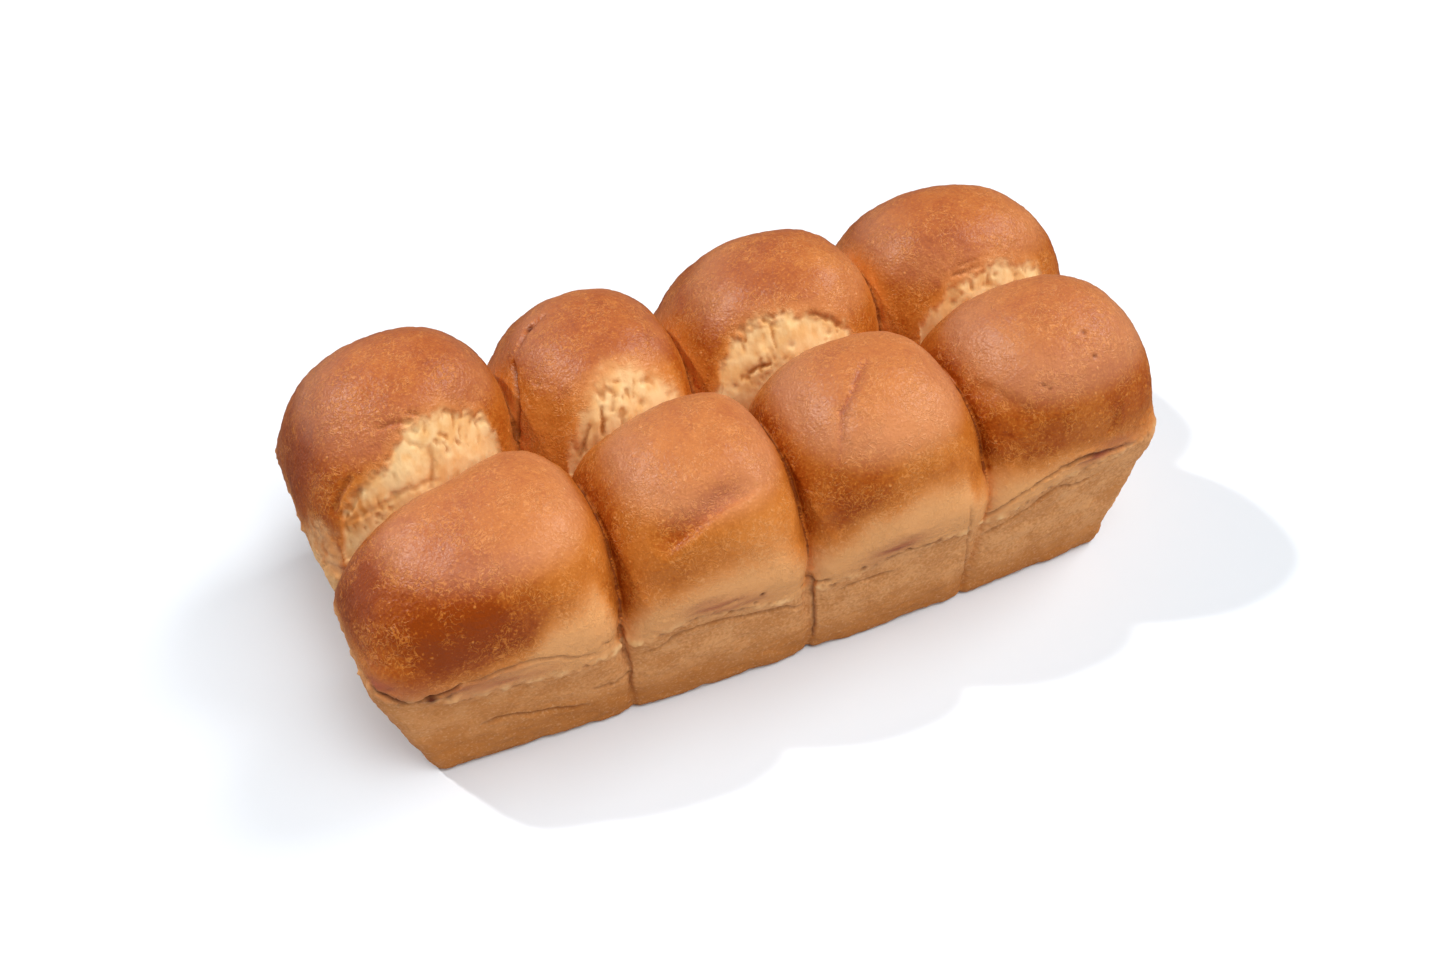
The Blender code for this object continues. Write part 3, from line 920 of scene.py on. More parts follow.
@dataclass(frozen=True)
class BareCrumb:
    """Crumb laid bare where the rows pulled apart: sheets, strands, torn cells and shreds."""

    # Where it lies: behind the valley, with a frayed edge, and the crust beyond it paled
    reach: float = 22 * MM
    fray: float = 1.2
    frays: tuple = ((1.0, 2.6 * MM), (0.5, 1.6 * MM))
    paled_reach: tuple = mm(10, 22)
    # The shaggy patch on the left end, between the rows
    end_middle: tuple = mm(-139, 1, 50)
    end_spread: tuple = mm(9, 12, 15)
    end_fray: float = 0.12
    end_edge: tuple = (0.25, 0.5)
    end_share: float = 0.4
    end_depth: float = 0.8 * MM
    # Its relief: sizes across, up and out of the dome
    upward: tuple = (0.5, 0.87)
    warp: tuple = mm(0.9, 6)
    strand: float = 0.16 * MM
    strand_size: tuple = mm(3, 7, 6)
    sheets: tuple = (1.0 * MM, mm(9, 16, 12))
    cell: float = 1.0 * MM
    cell_size: tuple = mm(1.7, 4, 3.4)
    cell_start: float = 0.12
    open_size: tuple = mm(9, 11, 10)
    open_edge: tuple = (0.1, 0.4)
    shred_size: tuple = mm(2.2, 4.5, 4)
    shred_edge: tuple = (0.2, 0.5)
    shred_patch: float = 10 * MM
    shred_patch_edge: tuple = (0.22, 0.45)
    cell_depth: float = 1.3
    shred_depth: float = 0.5
    cell_shade: float = 2.2
    shred_shade: float = 0.9
    held_at_seam: tuple = mm(1.5, 4)
    # Its golden brown: toast in shreds where the heat reached it, and painted shade in its cells
    toast_middle: float = 0.5
    toast_streaks: tuple = (0.8, mm(2.2, 4, 4))
    toast: float = 2.0
    cell_shade_gold: float = 0.6

    def tears(self, at: Survey, rise: Rise) -> tuple:
        """Finds the torn crumb.

        Args:
            at: The survey.
            rise: How the dough rose.

        Returns:
            The share of crumb at each point, how deep it lies, and how much the crust near it is paled.
        """
        x, y, z = at.points.T
        across, _ = rise.valley_at(x)
        rough = FINE.lumps(at.points, self.frays[0]) + FIBRE.lumps(at.points, self.frays[1])
        torn, depth, paled = np.zeros((3, len(x)))
        for tear in TEARS:
            left, right = tear.top_line[0][0] * MM, tear.top_line[-1][0] * MM
            inside = at.back & (x > left) & (x < right) & (y < across + self.reach) & (z > rise.widest)
            below = z / MM - along(tear.top_line, x / MM) + self.fray * rough
            share = np.where(inside, 1 - smoothstep(below, -tear.blend, tear.blend), 0.0)
            torn = np.maximum(torn, share)
            depth = np.maximum(depth, share * tear.depth * MM)
            paler = np.where(inside, 1 - smoothstep(below, 0.0, tear.fade), 0.0)
            paled = np.maximum(paled, paler * (1 - smoothstep(y - across, *self.paled_reach)))
        end = np.prod(hump(at.points - np.array(self.end_middle), np.array(self.end_spread)), axis=1)
        end = self.end_share * smoothstep(end + self.end_fray * at.ragged, *self.end_edge)
        shaggy = self.end_depth * end * (1 - at.ragged)
        return np.maximum(torn, end), np.maximum(depth, shaggy), paled

    def relief(self, at: Survey) -> tuple:
        """Shapes the crumb's sheets, strands, cells and shreds.

        Args:
            at: The survey.

        Returns:
            How far each place lies above the smooth crumb, and the painted shade that its depth in a
            cell or shred gives it, 0 to 1.
        """
        x, y, z = at.points.T
        low, steep = self.upward
        pulled = np.stack((x, low * y + steep * z, steep * y - low * z), axis=1)
        pulled += COARSE.lumps(pulled, self.warp)[:, None]
        strands = FIBRE.ridges(pulled, self.strand_size) ** 2
        open_part = smoothstep(COARSE(pulled, self.open_size), *self.open_edge)
        cells = np.maximum(FINE(pulled, self.cell_size) - self.cell_start, 0.0) * open_part
        shreds = smoothstep(FIBRE(pulled, self.shred_size), *self.shred_edge)
        shreds *= smoothstep(FINE(pulled, self.shred_patch), *self.shred_patch_edge)
        sheets = COARSE.lumps(pulled, self.sheets)
        held = smoothstep(at.gap, *self.held_at_seam)
        deep = self.cell * (self.cell_depth * cells + self.shred_depth * shreds)
        shade = np.clip(self.cell_shade * cells + self.shred_shade * shreds, 0.0, 1.0)
        return held * (self.strand * strands - deep + sheets), held * shade

    def toasting(self, at: Survey, cells: np.ndarray) -> np.ndarray:
        """Share of golden brown in the crumb: painted shade in its cells and shreds, and toast in
        streaks where the heat reached it.

        Args:
            at: The survey.
            cells: The painted shade of each place, from how deep in a cell or shred it lies.

        Returns:
            The share at each place.
        """
        shreds = self.toast_middle + FINE.lumps(at.points, self.toast_streaks)
        reached = sum(spot.colour * spot.read(at.points, at.normals) for spot in TOASTED)
        return self.cell_shade_gold * cells + self.toast * reached * np.clip(shreds, 0.0, 1.0)


@dataclass(frozen=True)
class BrokenRim:
    """The crumbly dough that broke over the rim. A place is a height above the rim and a width."""

    nick: float = 0.5
    nick_place: tuple = mm(0.5, 1.5)
    nick_edge: tuple = (0.2, 0.7)
    crumb_place: tuple = mm(1.5, 1.6)
    crumb_edge: tuple = (0.0, 0.4)
    crumb_share: float = 0.3
    seam_crumb_share: float = 0.5
    seam_width: float = 9 * MM
    lip: float = 0.7 * MM
    lip_place: tuple = mm(1, 2.5)
    lip_grain: tuple = (0.8, 1.7 * MM)
    band: float = 0.35 * MM
    band_place: tuple = mm(7, 6)
    band_size: tuple = mm(16, 8, 3)

    @staticmethod
    def along_rim(at: Survey, place: tuple) -> np.ndarray:
        """Share of a band that runs along the rim."""
        return hump(at.above_rim - place[0], place[1]) * at.outside

    def nicks(self, at: Survey) -> np.ndarray:
        """Darkness of the nicks in the broken dough."""
        return self.nick * self.along_rim(at, self.nick_place) * smoothstep(-at.ragged, *self.nick_edge)

    def crumbs(self, at: Survey) -> np.ndarray:
        """Share of crumb in the broken dough, most beside the seams."""
        share = self.crumb_share + self.seam_crumb_share * hump(at.gap, self.seam_width)
        return self.along_rim(at, self.crumb_place) * smoothstep(at.ragged, *self.crumb_edge) * share

    def crumbly_lip(self, at: Survey) -> np.ndarray:
        """How far the crumbly lip stands out."""
        crumbly = at.ragged + FIBRE.lumps(at.points, self.lip_grain)
        return self.lip * self.along_rim(at, self.lip_place) * crumbly

    def stretch_marks(self, at: Survey) -> np.ndarray:
        """How deep the stretch marks above the lip are."""
        stretch = FIBRE.ridges(at.points, self.band_size) ** 2
        return self.band * self.along_rim(at, self.band_place) * stretch


@dataclass
class BriocheLoaf:
    """The loaf: its eight balls joined, its relief, and the kinds of its skin."""

    name: str = "brioche_loaf"
    tin: Tin = Tin()
    rise: Rise = Rise()
    oven: Oven = Oven()
    crumb: BareCrumb = BareCrumb()
    rim: BrokenRim = BrokenRim()
    # The joined mesh, thinned least where it has detail
    voxel: float = 0.75 * MM
    smoothing: int = 2
    smooth_factor: float = 0.5
    triangles: int = 192_000
    least_plain: float = 0.2
    plain_steps: int = 9
    neighbours: int = 3
    # What the tin touched
    long_side: tuple = mm(48, 56)
    short_side: tuple = mm(124, 132)
    end_wave: tuple = mm(6, 26)
    frays: tuple = ((1.0, 5 * MM), (0.6, 2 * MM))
    wall_fray: float = 0.8 * MM
    wall_edge: tuple = mm(-1, 1.5)
    underside: tuple = mm(10, 20)
    # The seams, and the left flanks with painted shade and no painted bounce light, by their turn and
    # their place
    seam_reach: float = 8 * MM
    seam_groove: float = 0.8 * MM
    seam_width: float = 0.9 * MM
    seam_detail: float = 2 * MM
    seam_core: tuple = (0.8, 0.92)
    wall_groove: float = 0.3 * MM
    flank_turn: tuple = (0.1, 0.6)
    flank_front: tuple = mm(5, 20)
    # The crust's relief, by height and width
    swell: tuple = mm(0.45, 22)
    ripple: tuple = mm(0.18, 8)
    wrinkle: tuple = mm(0.22, 5)
    goosebump: tuple = mm(0.07, 2.2)
    # The tin's print on the walls
    print_crease: float = 0.4 * MM
    crease_size: tuple = mm(14, 14, 4)
    waves: tuple = ((1.0, 9 * MM), (0.5, 4 * MM))
    pit: tuple = mm(0.18, 1.8)
    # How far the folds, slits and cracks wander, and how they colour the skin, mostly with painted
    # shade
    fold_wander: float = 0.25 * MM
    slit_wander: float = 0.6 * MM
    crack_wander: float = 0.6 * MM
    crack_wander_size: float = 3 * MM
    cracked_front: float = -45 * MM
    golden_slit: float = 1.6
    dark_in_crumb: float = 0.45
    dark_cell: float = 0.16
    most_toasted: float = 0.9
    pale_lip: float = 0.35

    def join(self) -> bpy.types.Object:
        """Joins the balls to one closed skin by a voxel remesh, and smooths its steps away.

        Returns:
            The joined loaf.
        """
        mesh = bpy.data.meshes.new(self.name)
        joined = bmesh.new()
        self.balls = FRONT_ROW.balls(self.tin, self.rise) + BACK_ROW.balls(self.tin, self.rise)
        self.trees = []
        for ball in self.balls:
            bm = ball.build()
            self.trees.append(BVHTree.FromBMesh(bm))
            bm.to_mesh(mesh)
            bm.free()
            joined.from_mesh(mesh)
        joined.to_mesh(mesh)
        joined.free()
        loaf = bpy.data.objects.new(self.name, mesh)
        bpy.context.scene.collection.objects.link(loaf)
        remesh = loaf.modifiers.new("skin", "REMESH")
        remesh.mode = "VOXEL"
        remesh.voxel_size = self.voxel
        smooth = loaf.modifiers.new("rest", "SMOOTH")
        smooth.factor = self.smooth_factor
        smooth.iterations = self.smoothing
        self.bake_modifiers(loaf)
        return loaf

    @staticmethod
    def bake_modifiers(piece: bpy.types.Object) -> None:
        """Applies a piece's modifiers to its mesh.

        Args:
            piece: The piece, which is left without modifiers.
        """
        graph = bpy.context.evaluated_depsgraph_get()
        mesh = bpy.data.meshes.new_from_object(piece.evaluated_get(graph))
        piece.modifiers.clear()
        piece.data = mesh

    def gaps(self, points: np.ndarray) -> tuple:
        """Finds which ball each point of the skin belongs to, and how near the next one is.

        Args:
            points: Points of the joined skin.

        Returns:
            The ball's number, and how much farther off the second nearest ball's surface is.
        """
        farthest = 2 * self.seam_reach
        distances = np.full((len(points), len(self.trees)), farthest)
        for k, tree in enumerate(self.trees):
            for i, point in enumerate(points):
                _, _, _, away = tree.find_nearest(point, farthest)
                if away is not None:
                    distances[i, k] = away
        order = np.sort(distances, axis=1)
        return np.argmin(distances, axis=1), order[:, 1] - order[:, 0]

    def survey(self, mesh: bpy.types.Mesh) -> Survey:
        """Finds out what is known of each point of the joined skin.

        Args:
            mesh: The joined skin.

        Returns:
            The survey.
        """
        points, normals = np.empty((2, len(mesh.vertices) * 3))
        mesh.vertices.foreach_get("co", points)
        mesh.vertex_normals.foreach_get("vector", normals)
        points, normals = points.reshape(-1, 3), normals.reshape(-1, 3)
        x, y, z = points.T
        owner, gap = self.gaps(points)
        long_side = smoothstep(np.abs(y), *self.long_side)
        short_side = smoothstep(np.abs(x), *self.short_side)
        wave = COARSE.lumps(points, self.end_wave, short_side)
        left_flank = smoothstep(-normals[:, 0], *self.flank_turn)
        return Survey(
            points=points,
            normals=normals,
            back=owner >= len(self.balls) // 2,
            gap=gap,
            top=np.array([ball.top for ball in self.balls])[owner],
            outside=np.maximum(long_side, short_side),
            above_rim=z - along(self.tin.rim_line, x) - wave,
            ragged=sum(FINE.lumps(points, fray) for fray in self.frays),
            shaded_left_flank=left_flank * smoothstep(-y, *self.flank_front),
        )

    def walls(self, at: Survey) -> np.ndarray:
        """Share of the skin that lay against the tin."""
        wall = at.outside * (1 - smoothstep(at.above_rim + self.wall_fray * at.ragged, *self.wall_edge))
        return np.maximum(wall, 1 - smoothstep(at.points[:, 2], *self.underside))

    def flat_points(self, at: Survey) -> np.ndarray:
        """The (x, z) places of the skin, a little astray so that the cracks wander."""
        wander = np.stack((at.ragged, FIBRE(at.points, self.crack_wander_size)), axis=1)
        return at.points[:, (0, 2)] + self.crack_wander * wander

    def marks(self, at: Survey) -> tuple:
        """Cuts the folds, slits, cracks and holes.

        Args:
            at: The survey.

        Returns:
            How dark each place is, as painted shade in slits, cracks and holes; how much painted shade
            the folds add to the browning; how golden its crumb; and how high it lies.
        """
        dark, browned, golden, high = np.zeros((4, len(at.points)))
        wandering = at.points + self.fold_wander * at.ragged[:, None]
        astray = at.points + self.slit_wander * at.ragged[:, None]
        flat = self.flat_points(at)
        front = at.points[:, 1] < self.cracked_front
        for fold in FOLDS:
            deep, _ = fold.read(wandering)
            high -= fold.depth * MM * deep
            browned = np.maximum(browned, fold.dark * deep)
        for slit in SLITS:
            deep, _ = slit.read(astray, at.normals)
            high -= slit.depth * MM * deep
            dark = np.maximum(dark, slit.dark * deep)
            golden = np.maximum(golden, self.golden_slit * slit.dark * deep)
        for crack in CRACKS:
            deep, lips = crack.read(flat)
            high += front * crack.depth * MM * (crack.lips * lips - deep)
            dark = np.maximum(dark, front * crack.dark * deep)
        for hole in HOLES:
            share = hole.read(wandering, at.normals)
            high -= hole.depth * MM * share
            dark = np.maximum(dark, hole.colour * share)
        return dark, browned, golden, high

    def relief(self, at: Survey, wall: np.ndarray, torn: np.ndarray) -> np.ndarray:
        """Works out the relief of the crust and of the tin's print.

        Args:
            at: The survey.
            wall: Share of wall.
            torn: Share of torn crumb.

        Returns:
            How far each point stands proud, or lies below, its smooth form.
        """
        points = at.points
        crust = (1 - wall) * (1 - torn)
        high = COARSE.lumps(points, self.swell) + FINE.lumps(points, self.ripple)
        high -= crust * self.wrinkle[0] * FINE.ridges(points, self.wrinkle[1])
        high += FIBRE.lumps(points, self.goosebump, crust)
        high -= mix(self.seam_groove, self.wall_groove, wall) * hump(at.gap, self.seam_width)
        creases = FIBRE.ridges(points, self.crease_size) ** 3
        waves = COARSE.lumps(points, self.waves[0]) + FINE.lumps(points, self.waves[1])
        high += wall * (self.print_crease * (waves - creases) + FINE.lumps(points, self.pit))
        return high + self.rim.crumbly_lip(at) - self.rim.stretch_marks(at)

    def build(self) -> bpy.types.Object:
        """Builds the loaf.

        Returns:
            One closed mesh, with the kinds of its skin as attributes.
        """
        loaf = self.join()
        LOG.info("joined skin: %d points", len(loaf.data.vertices))
        at = self.survey(loaf.data)
        wall = self.walls(at)
        torn, torn_depth, paled = self.crumb.tears(at, self.rise)
        dark, browned, golden, high = self.marks(at)
        dark *= 1 - self.dark_in_crumb * torn
        crumb, cells = self.crumb.relief(at)
        high += self.relief(at, wall, torn) + torn * crumb - torn_depth
        torn = np.maximum(torn, self.rim.crumbs(at))
        raised = at.points + at.normals * high[:, None]
        raised[:, 2] = np.maximum(raised[:, 2], 0.0)
        middle = (raised.min(axis=0) + raised.max(axis=0)) / 2
        raised -= np.array((middle[0], middle[1], 0.0))
        loaf.data.vertices.foreach_set("co", raised.ravel())
        # Nearness to a seam, for its painted bounce light and its painted crease shade; on the left
        # flanks only its core
        seam = np.clip(1 - at.gap / self.seam_reach, 0.0, 1.0)
        seam *= mix(1.0, smoothstep(seam, *self.seam_core), at.shaded_left_flank)
        # The painted shade of the folds goes into the browning
        bake_and_shading = self.oven.browning(at, wall) + (1 - wall) * (browned - self.pale_lip * paled)
        # Painted shade in slits, cracks, holes, nicks and crumb cells
        painted_recess_shade = np.maximum(np.maximum(dark, self.dark_cell * torn * cells), self.rim.nicks(at))
        toast_and_cell_shade = np.maximum(self.crumb.toasting(at, cells), golden)
        self.thin(loaf, torn + dark + hump(at.gap, self.seam_detail))
        skin = {
            Skin.WALL: wall,
            Skin.BAKE: bake_and_shading,
            Skin.PAINTED_SHEEN: self.oven.painted_sheen_share(at),
            Skin.BLUSH: self.oven.blush(at) * (1 - wall),
            Skin.TORN: torn,
            Skin.CRACK_SHADE: painted_recess_shade,
            Skin.TOAST_AND_CELL_SHADE: np.clip(toast_and_cell_shade, 0.0, self.most_toasted),
            Skin.SEAM: seam,
        }
        self.record_skin(loaf, raised, skin)
        loaf.data.shade_smooth()
        return loaf

    def thin(self, loaf: bpy.types.Object, detail: np.ndarray) -> None:
        """Thins the loaf's mesh out, least where there is detail.

        Args:
            loaf: The loaf.
            detail: How much detail each of its points has, 0 to 1 or more.
        """
        group = loaf.vertex_groups.new(name="plain")
        span = 1 - self.least_plain
        plain = 1 - span * np.clip(detail, 0.0, 1.0)
        half_step = span / (self.plain_steps - 1) / 2
        for step in np.linspace(self.least_plain, 1.0, self.plain_steps):
            members = np.nonzero(np.abs(plain - step) <= half_step)[0]
            group.add(members.tolist(), float(step), "REPLACE")
        thin = loaf.modifiers.new("thin", "DECIMATE")
        loaf.data.calc_loop_triangles()
        thin.ratio = min(1.0, self.triangles / len(loaf.data.loop_triangles))
        thin.vertex_group = group.name
        thin.vertex_group_factor = 1.0
        self.bake_modifiers(loaf)
        loaf.vertex_groups.clear()

    def record_skin(self, loaf: bpy.types.Object, points: np.ndarray, skin: dict) -> None:
        """Carries the kinds of skin from the fine mesh to the loaf's points, as attributes.

        Args:
            loaf: The finished loaf.
            points: Points of the fine mesh.
            skin: Kinds of skin at those points.
        """
        tree = KDTree(len(points))
        for number, point in enumerate(points):
            tree.insert(point, number)
        tree.balance()
        found = [tree.find_n(vert.co, self.neighbours) for vert in loaf.data.vertices]
        nearest = np.array([[number for _, number, _ in near] for near in found])
        weights = 1 / (np.array([[away for _, _, away in near] for near in found]) + TINY)
        weights /= weights.sum(axis=1, keepdims=True)
        for kind, values in skin.items():
            attribute = loaf.data.attributes.new(kind.value, "FLOAT", "POINT")
            shares = (values[nearest] * weights).sum(axis=1)
            attribute.data.foreach_set("value", shares.astype(np.float32))

    @staticmethod
    def dress(loaf: bpy.types.Object) -> None:
        """Gives the loaf its crust, and its body and node of the frame.

        Args:
            loaf: The finished loaf.
        """
        loaf.data.materials.clear()
        loaf.data.materials.append(EggWashedCrust().material())
        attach(loaf, "root")
        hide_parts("loaf")


def linear(code: str) -> tuple:
    """Turns an sRGB hex colour to linear RGBA."""
    channels = (int(code[i : i + 2], 16) / 255 for i in (1, 3, 5))
    return (*(c / 12.92 if c <= 0.04045 else ((c + 0.055) / 1.055) ** 2.4 for c in channels), 1.0)


def add_node(tree: bpy.types.NodeTree, kind: str, settings: dict) -> bpy.types.Node:
    """Adds a node with its settings and links.

    Args:
        tree: Node tree of a material.
        kind: Blender's name of the node type, without ShaderNode.
        settings: Properties by name; and for an input, by number or name, its value or what feeds it.

    Returns:
        The new node.
    """
    node = tree.nodes.new("ShaderNode" + kind)
    for key, value in settings.items():
        if isinstance(value, bpy.types.NodeSocket):
            tree.links.new(value, node.inputs[key])
        elif isinstance(key, int) or key in node.inputs:
            node.inputs[key].default_value = value
        else:
            setattr(node, key, value)
    return node


# Inputs of a Mix node by number, for shares, for numbers and for colours, and its colour output
MIX_SHARE, MIX_LOW, MIX_HIGH, MIX_FROM, MIX_TO, MIX_COLOUR = 0, 2, 3, 6, 7, 2


@dataclass(frozen=True)
class EggWashedCrust:
    """Brioche crust: egg-washed dough browned in the oven, pale where the tin or a neighbour hid it.

    The wash bakes to a satin skin with an orange-peel grain, pinhead blisters and curly micro-wrinkles.
    The tin leaves a matt pocked wall, and bare crumb is matt and creamy, and golden where it toasted.
    """

    ramp: tuple = (
        (0.0, "#e6a263"),
        (0.3, "#dd9150"),
        (0.6, "#cc7a33"),
        (0.78, "#b96722"),
        (0.9, "#a65013"),
        (1.0, "#903b04"),
    )
    # Painted sheen: a pinker tint on the tops that stands in for their gloss
    painted_sheen: str = "#d99a78"
    # Beside the seams: partly paler, less baked dough, partly painted bounce light from the next ball
    seam_bounce_orange: str = "#dd7f30"
    blush: str = "#a4573a"
    wall_light: str = "#da9a61"
    wall_deep: str = "#c38047"
    wall_base: str = "#b56c2b"
    wall_fleck: str = "#dfab78"
    crumb: str = "#f7d197"
    crumb_deep: str = "#ecb877"
    # Golden crumb: toast, and painted shade in the crumb's cells
    toast_and_cell_shade: str = "#bf7430"
    # Painted shade in cracks, slits, holes, nicks and crumb cells
    crack: str = "#6a2f12"
    # Painted shade: a thin dark line in each seam's crease
    seam: str = "#80380f"
    mottle_size: float = 15 * MM
    grit_size: float = 2.8 * MM
    # Real peel and specks are about 0.4 mm wide, too fine to show, so they are drawn about 1 mm wide
    peel_size: float = 1.1 * MM
    speck_size: float = 0.9 * MM
    blister_size: float = 3 * MM
    patch_size: float = 10.8 * MM
    curl_size: float = 2.7 * MM
    pit_size: float = 1.5 * MM
    strand_width: float = 2.8 * MM
    strand_length: float = 4 * MM
    satin: float = 0.34
    matt: float = 0.85
    ior: float = 1.4
    gloss_tint: str = "#fff4ea"
    bump_strength: float = 0.75
    bump_depth: float = 0.34 * MM

    def material(self) -> bpy.types.Material:
        """Builds the crust's material.

        Returns:
            The material.
        """
        material = bpy.data.materials.new("egg_washed_brioche_crust")
        material.use_nodes = True
        tree = material.node_tree
        shader = tree.nodes["Principled BSDF"]
        skin = {
            kind: add_node(tree, "Attribute", {"attribute_name": kind.value}).outputs["Fac"]
            for kind in Skin
        }
        grain = self.grain(tree)
        bare = {"operation": "MAXIMUM", 0: skin[Skin.WALL], 1: skin[Skin.TORN]}
        bare = add_node(tree, "Math", bare).outputs[0]
        rough = add_node(tree, "MapRange", {"Value": bare, "To Min": self.satin, "To Max": self.matt})
        tree.links.new(self.colour(tree, skin, grain), shader.inputs["Base Color"])
        tree.links.new(self.bump(tree, skin, grain), shader.inputs["Normal"])
        tree.links.new(rough.outputs[0], shader.inputs["Roughness"])
        shader.inputs["IOR"].default_value = self.ior
        shader.inputs["Specular Tint"].default_value = linear(self.gloss_tint)
        return material

    def grain(self, tree: bpy.types.NodeTree) -> dict:
        """Lays out the patterns of crust, wall and crumb.

        Args:
            tree: The material's node tree.

        Returns:
            One output for each pattern, by name.
        """
        place = add_node(tree, "TexCoord", {}).outputs["Object"]
        stretch = (1 / self.strand_width, 1 / self.strand_length, 1 / self.strand_length)
        pulled = add_node(tree, "Mapping", {"Vector": place, "Scale": stretch}).outputs[0]
        grain = {}
        for name, size, settings in (
            ("mottle", self.mottle_size, {"Detail": 5.0, "Roughness": 0.6}),
            ("grit", self.grit_size, {"Detail": 4.0, "Roughness": 0.65}),
            ("peel", self.peel_size, {"Detail": 3.0}),
            ("speck", self.speck_size, {"Detail": 1.0}),
            ("patch", self.patch_size, {"Detail": 2.0}),
            ("curl", self.curl_size, {"Detail": 2.0, "Distortion": 1.2}),
            ("strand", 1.0, {"Detail": 3.0, "Vector": pulled}),
        ):
            noise = add_node(tree, "TexNoise", {"Vector": place, "Scale": 1 / size, **settings})
            grain[name] = noise.outputs["Fac"]
        pits = add_node(tree, "TexVoronoi", {"Vector": place, "Scale": 1 / self.pit_size})
        grain["pit"] = pits.outputs["Distance"]
        # Pinhead blisters in about a third of the cells, and thin curly lines, where the curling noise
        # crosses its middle, in some patches only
        cells = add_node(tree, "TexVoronoi", {"Vector": place, "Scale": 1 / self.blister_size})
        pick = add_node(tree, "SeparateColor", {0: cells.outputs["Color"]}).outputs[0]
        off = add_node(tree, "Math", {"operation": "SUBTRACT", 0: grain["curl"], 1: 0.5}).outputs[0]
        away = add_node(tree, "Math", {"operation": "ABSOLUTE", 0: off}).outputs[0]
        for name, near, chosen in (
            (
                "blister",
                {"Value": cells.outputs["Distance"], "From Min": 0.22, "From Max": 0.08},
                {"Value": pick, "From Min": 0.65, "From Max": 0.95},
            ),
            (
                "curls",
                {"Value": away, "From Min": 0.05, "From Max": 0.0},
                {"Value": grain["patch"], "From Min": 0.43, "From Max": 0.56, "To Max": 0.8},
            ),
        ):
            near = add_node(tree, "MapRange", near).outputs[0]
            chosen = add_node(tree, "MapRange", chosen).outputs[0]
            both = {"operation": "MULTIPLY", 0: near, 1: chosen}
            grain[name] = add_node(tree, "Math", both).outputs[0]
        for name, other in (("strand", "drawn"), ("peel", "uneven")):
            both = {"operation": "ADD", 0: grain[name], 1: grain["patch"]}
            both = add_node(tree, "Math", both).outputs[0]
            half = {"operation": "MULTIPLY", 0: both, 1: 0.5}
            grain[other] = add_node(tree, "Math", half).outputs[0]
        return grain

    def colour(self, tree: bpy.types.NodeTree, skin: dict, grain: dict) -> bpy.types.NodeSocket:
        """Lays the skin's colours over each other, from the browned dome to the cracks, with painted
        sheen, bounce light and shade among them.

        Args:
            tree: The material's node tree.
            skin: Outputs with the share of each kind of skin.
            grain: Outputs of the patterns.

        Returns:
            The colour's output.
        """
        bake_and_shading = skin[Skin.BAKE]
        # Specks, blisters and curls are less baked than the crust around them
        for pattern, start, end, least, most in (
            ("mottle", 0.3, 0.7, -0.07, 0.07),
            ("grit", 0.3, 0.7, -0.04, 0.04),
            ("peel", 0.3, 0.7, -0.045, 0.045),
            ("speck", 0.58, 0.76, 0.0, -0.2),
            ("blister", 0.1, 1.0, 0.0, -0.4),
            ("curls", 0.0, 0.8, 0.0, -0.27),
        ):
            limits = {"From Min": start, "From Max": end, "To Min": least, "To Max": most}
            uneven = add_node(tree, "MapRange", {"Value": grain[pattern], **limits}).outputs[0]
            bake_and_shading = add_node(tree, "Math", {"operation": "ADD", 0: bake_and_shading, 1: uneven}).outputs[0]
        ramp = add_node(tree, "ValToRGB", {"Fac": bake_and_shading})
        for position, _ in self.ramp[1:-1]:
            ramp.color_ramp.elements.new(position)
        for element, (position, code) in zip(ramp.color_ramp.elements, self.ramp):
            element.position = position
            element.color = linear(code)
        share = {
            name: add_node(
                tree, "MapRange", {"Value": value, "From Min": start, "From Max": end, "To Max": most}
            ).outputs[0]
            for name, value, start, end, most in (
                # Painted bounce light beside the seams, painted shade in their crease, and painted
                # shade in the cracks
                ("seam_bounce", skin[Skin.SEAM], 0.4, 0.9, 0.45),
                ("crease_shade_core", skin[Skin.SEAM], 0.87, 0.96, 0.9),
                ("browned", skin[Skin.BAKE], 0.1, 0.5, 1.0),
                ("fleck", grain["speck"], 0.56, 0.74, 0.45),
                ("deep", grain["uneven"], 0.58, 0.42, 1.0),
                ("base", skin[Skin.BAKE], 0.1, 1.0, 0.8),
                ("sheet", grain["drawn"], 0.4, 0.58, 1.0),
                ("recess_shade", skin[Skin.CRACK_SHADE], 0.05, 0.8, 1.0),
            )
        }
        # Painted shade of the seam's crease, only on browned crust
        line = {"operation": "MULTIPLY", 0: share["crease_shade_core"], 1: share["browned"]}
        share["line"] = add_node(tree, "Math", line).outputs[0]
        shown = {
            "crust": ramp.outputs[0],
            "wall": linear(self.wall_light),
            "crumb": linear(self.crumb_deep),
        }
        # Each layer: what it lies on, its share, and its colour or what is shown there
        for under, part, over in (
            # Painted sheen on the tops, painted bounce light beside the seams, and painted shade in the
            # seam's crease and the cracks
            ("crust", skin[Skin.PAINTED_SHEEN], self.painted_sheen),
            ("crust", share["seam_bounce"], self.seam_bounce_orange),
            ("crust", skin[Skin.BLUSH], self.blush),
            ("crust", share["line"], self.seam),
            ("wall", share["deep"], self.wall_deep),
            ("wall", share["base"], self.wall_base),
            ("wall", share["fleck"], self.wall_fleck),
            ("crumb", share["sheet"], self.crumb),
            ("crumb", skin[Skin.TOAST_AND_CELL_SHADE], self.toast_and_cell_shade),
            ("crust", skin[Skin.WALL], "wall"),
            ("crust", skin[Skin.TORN], "crumb"),
            ("crust", share["recess_shade"], self.crack),
        ):
            laid = shown[over] if over in shown else linear(over)
            layer = {"data_type": "RGBA", MIX_SHARE: part, MIX_FROM: shown[under], MIX_TO: laid}
            shown[under] = add_node(tree, "Mix", layer).outputs[MIX_COLOUR]
        return shown["crust"]

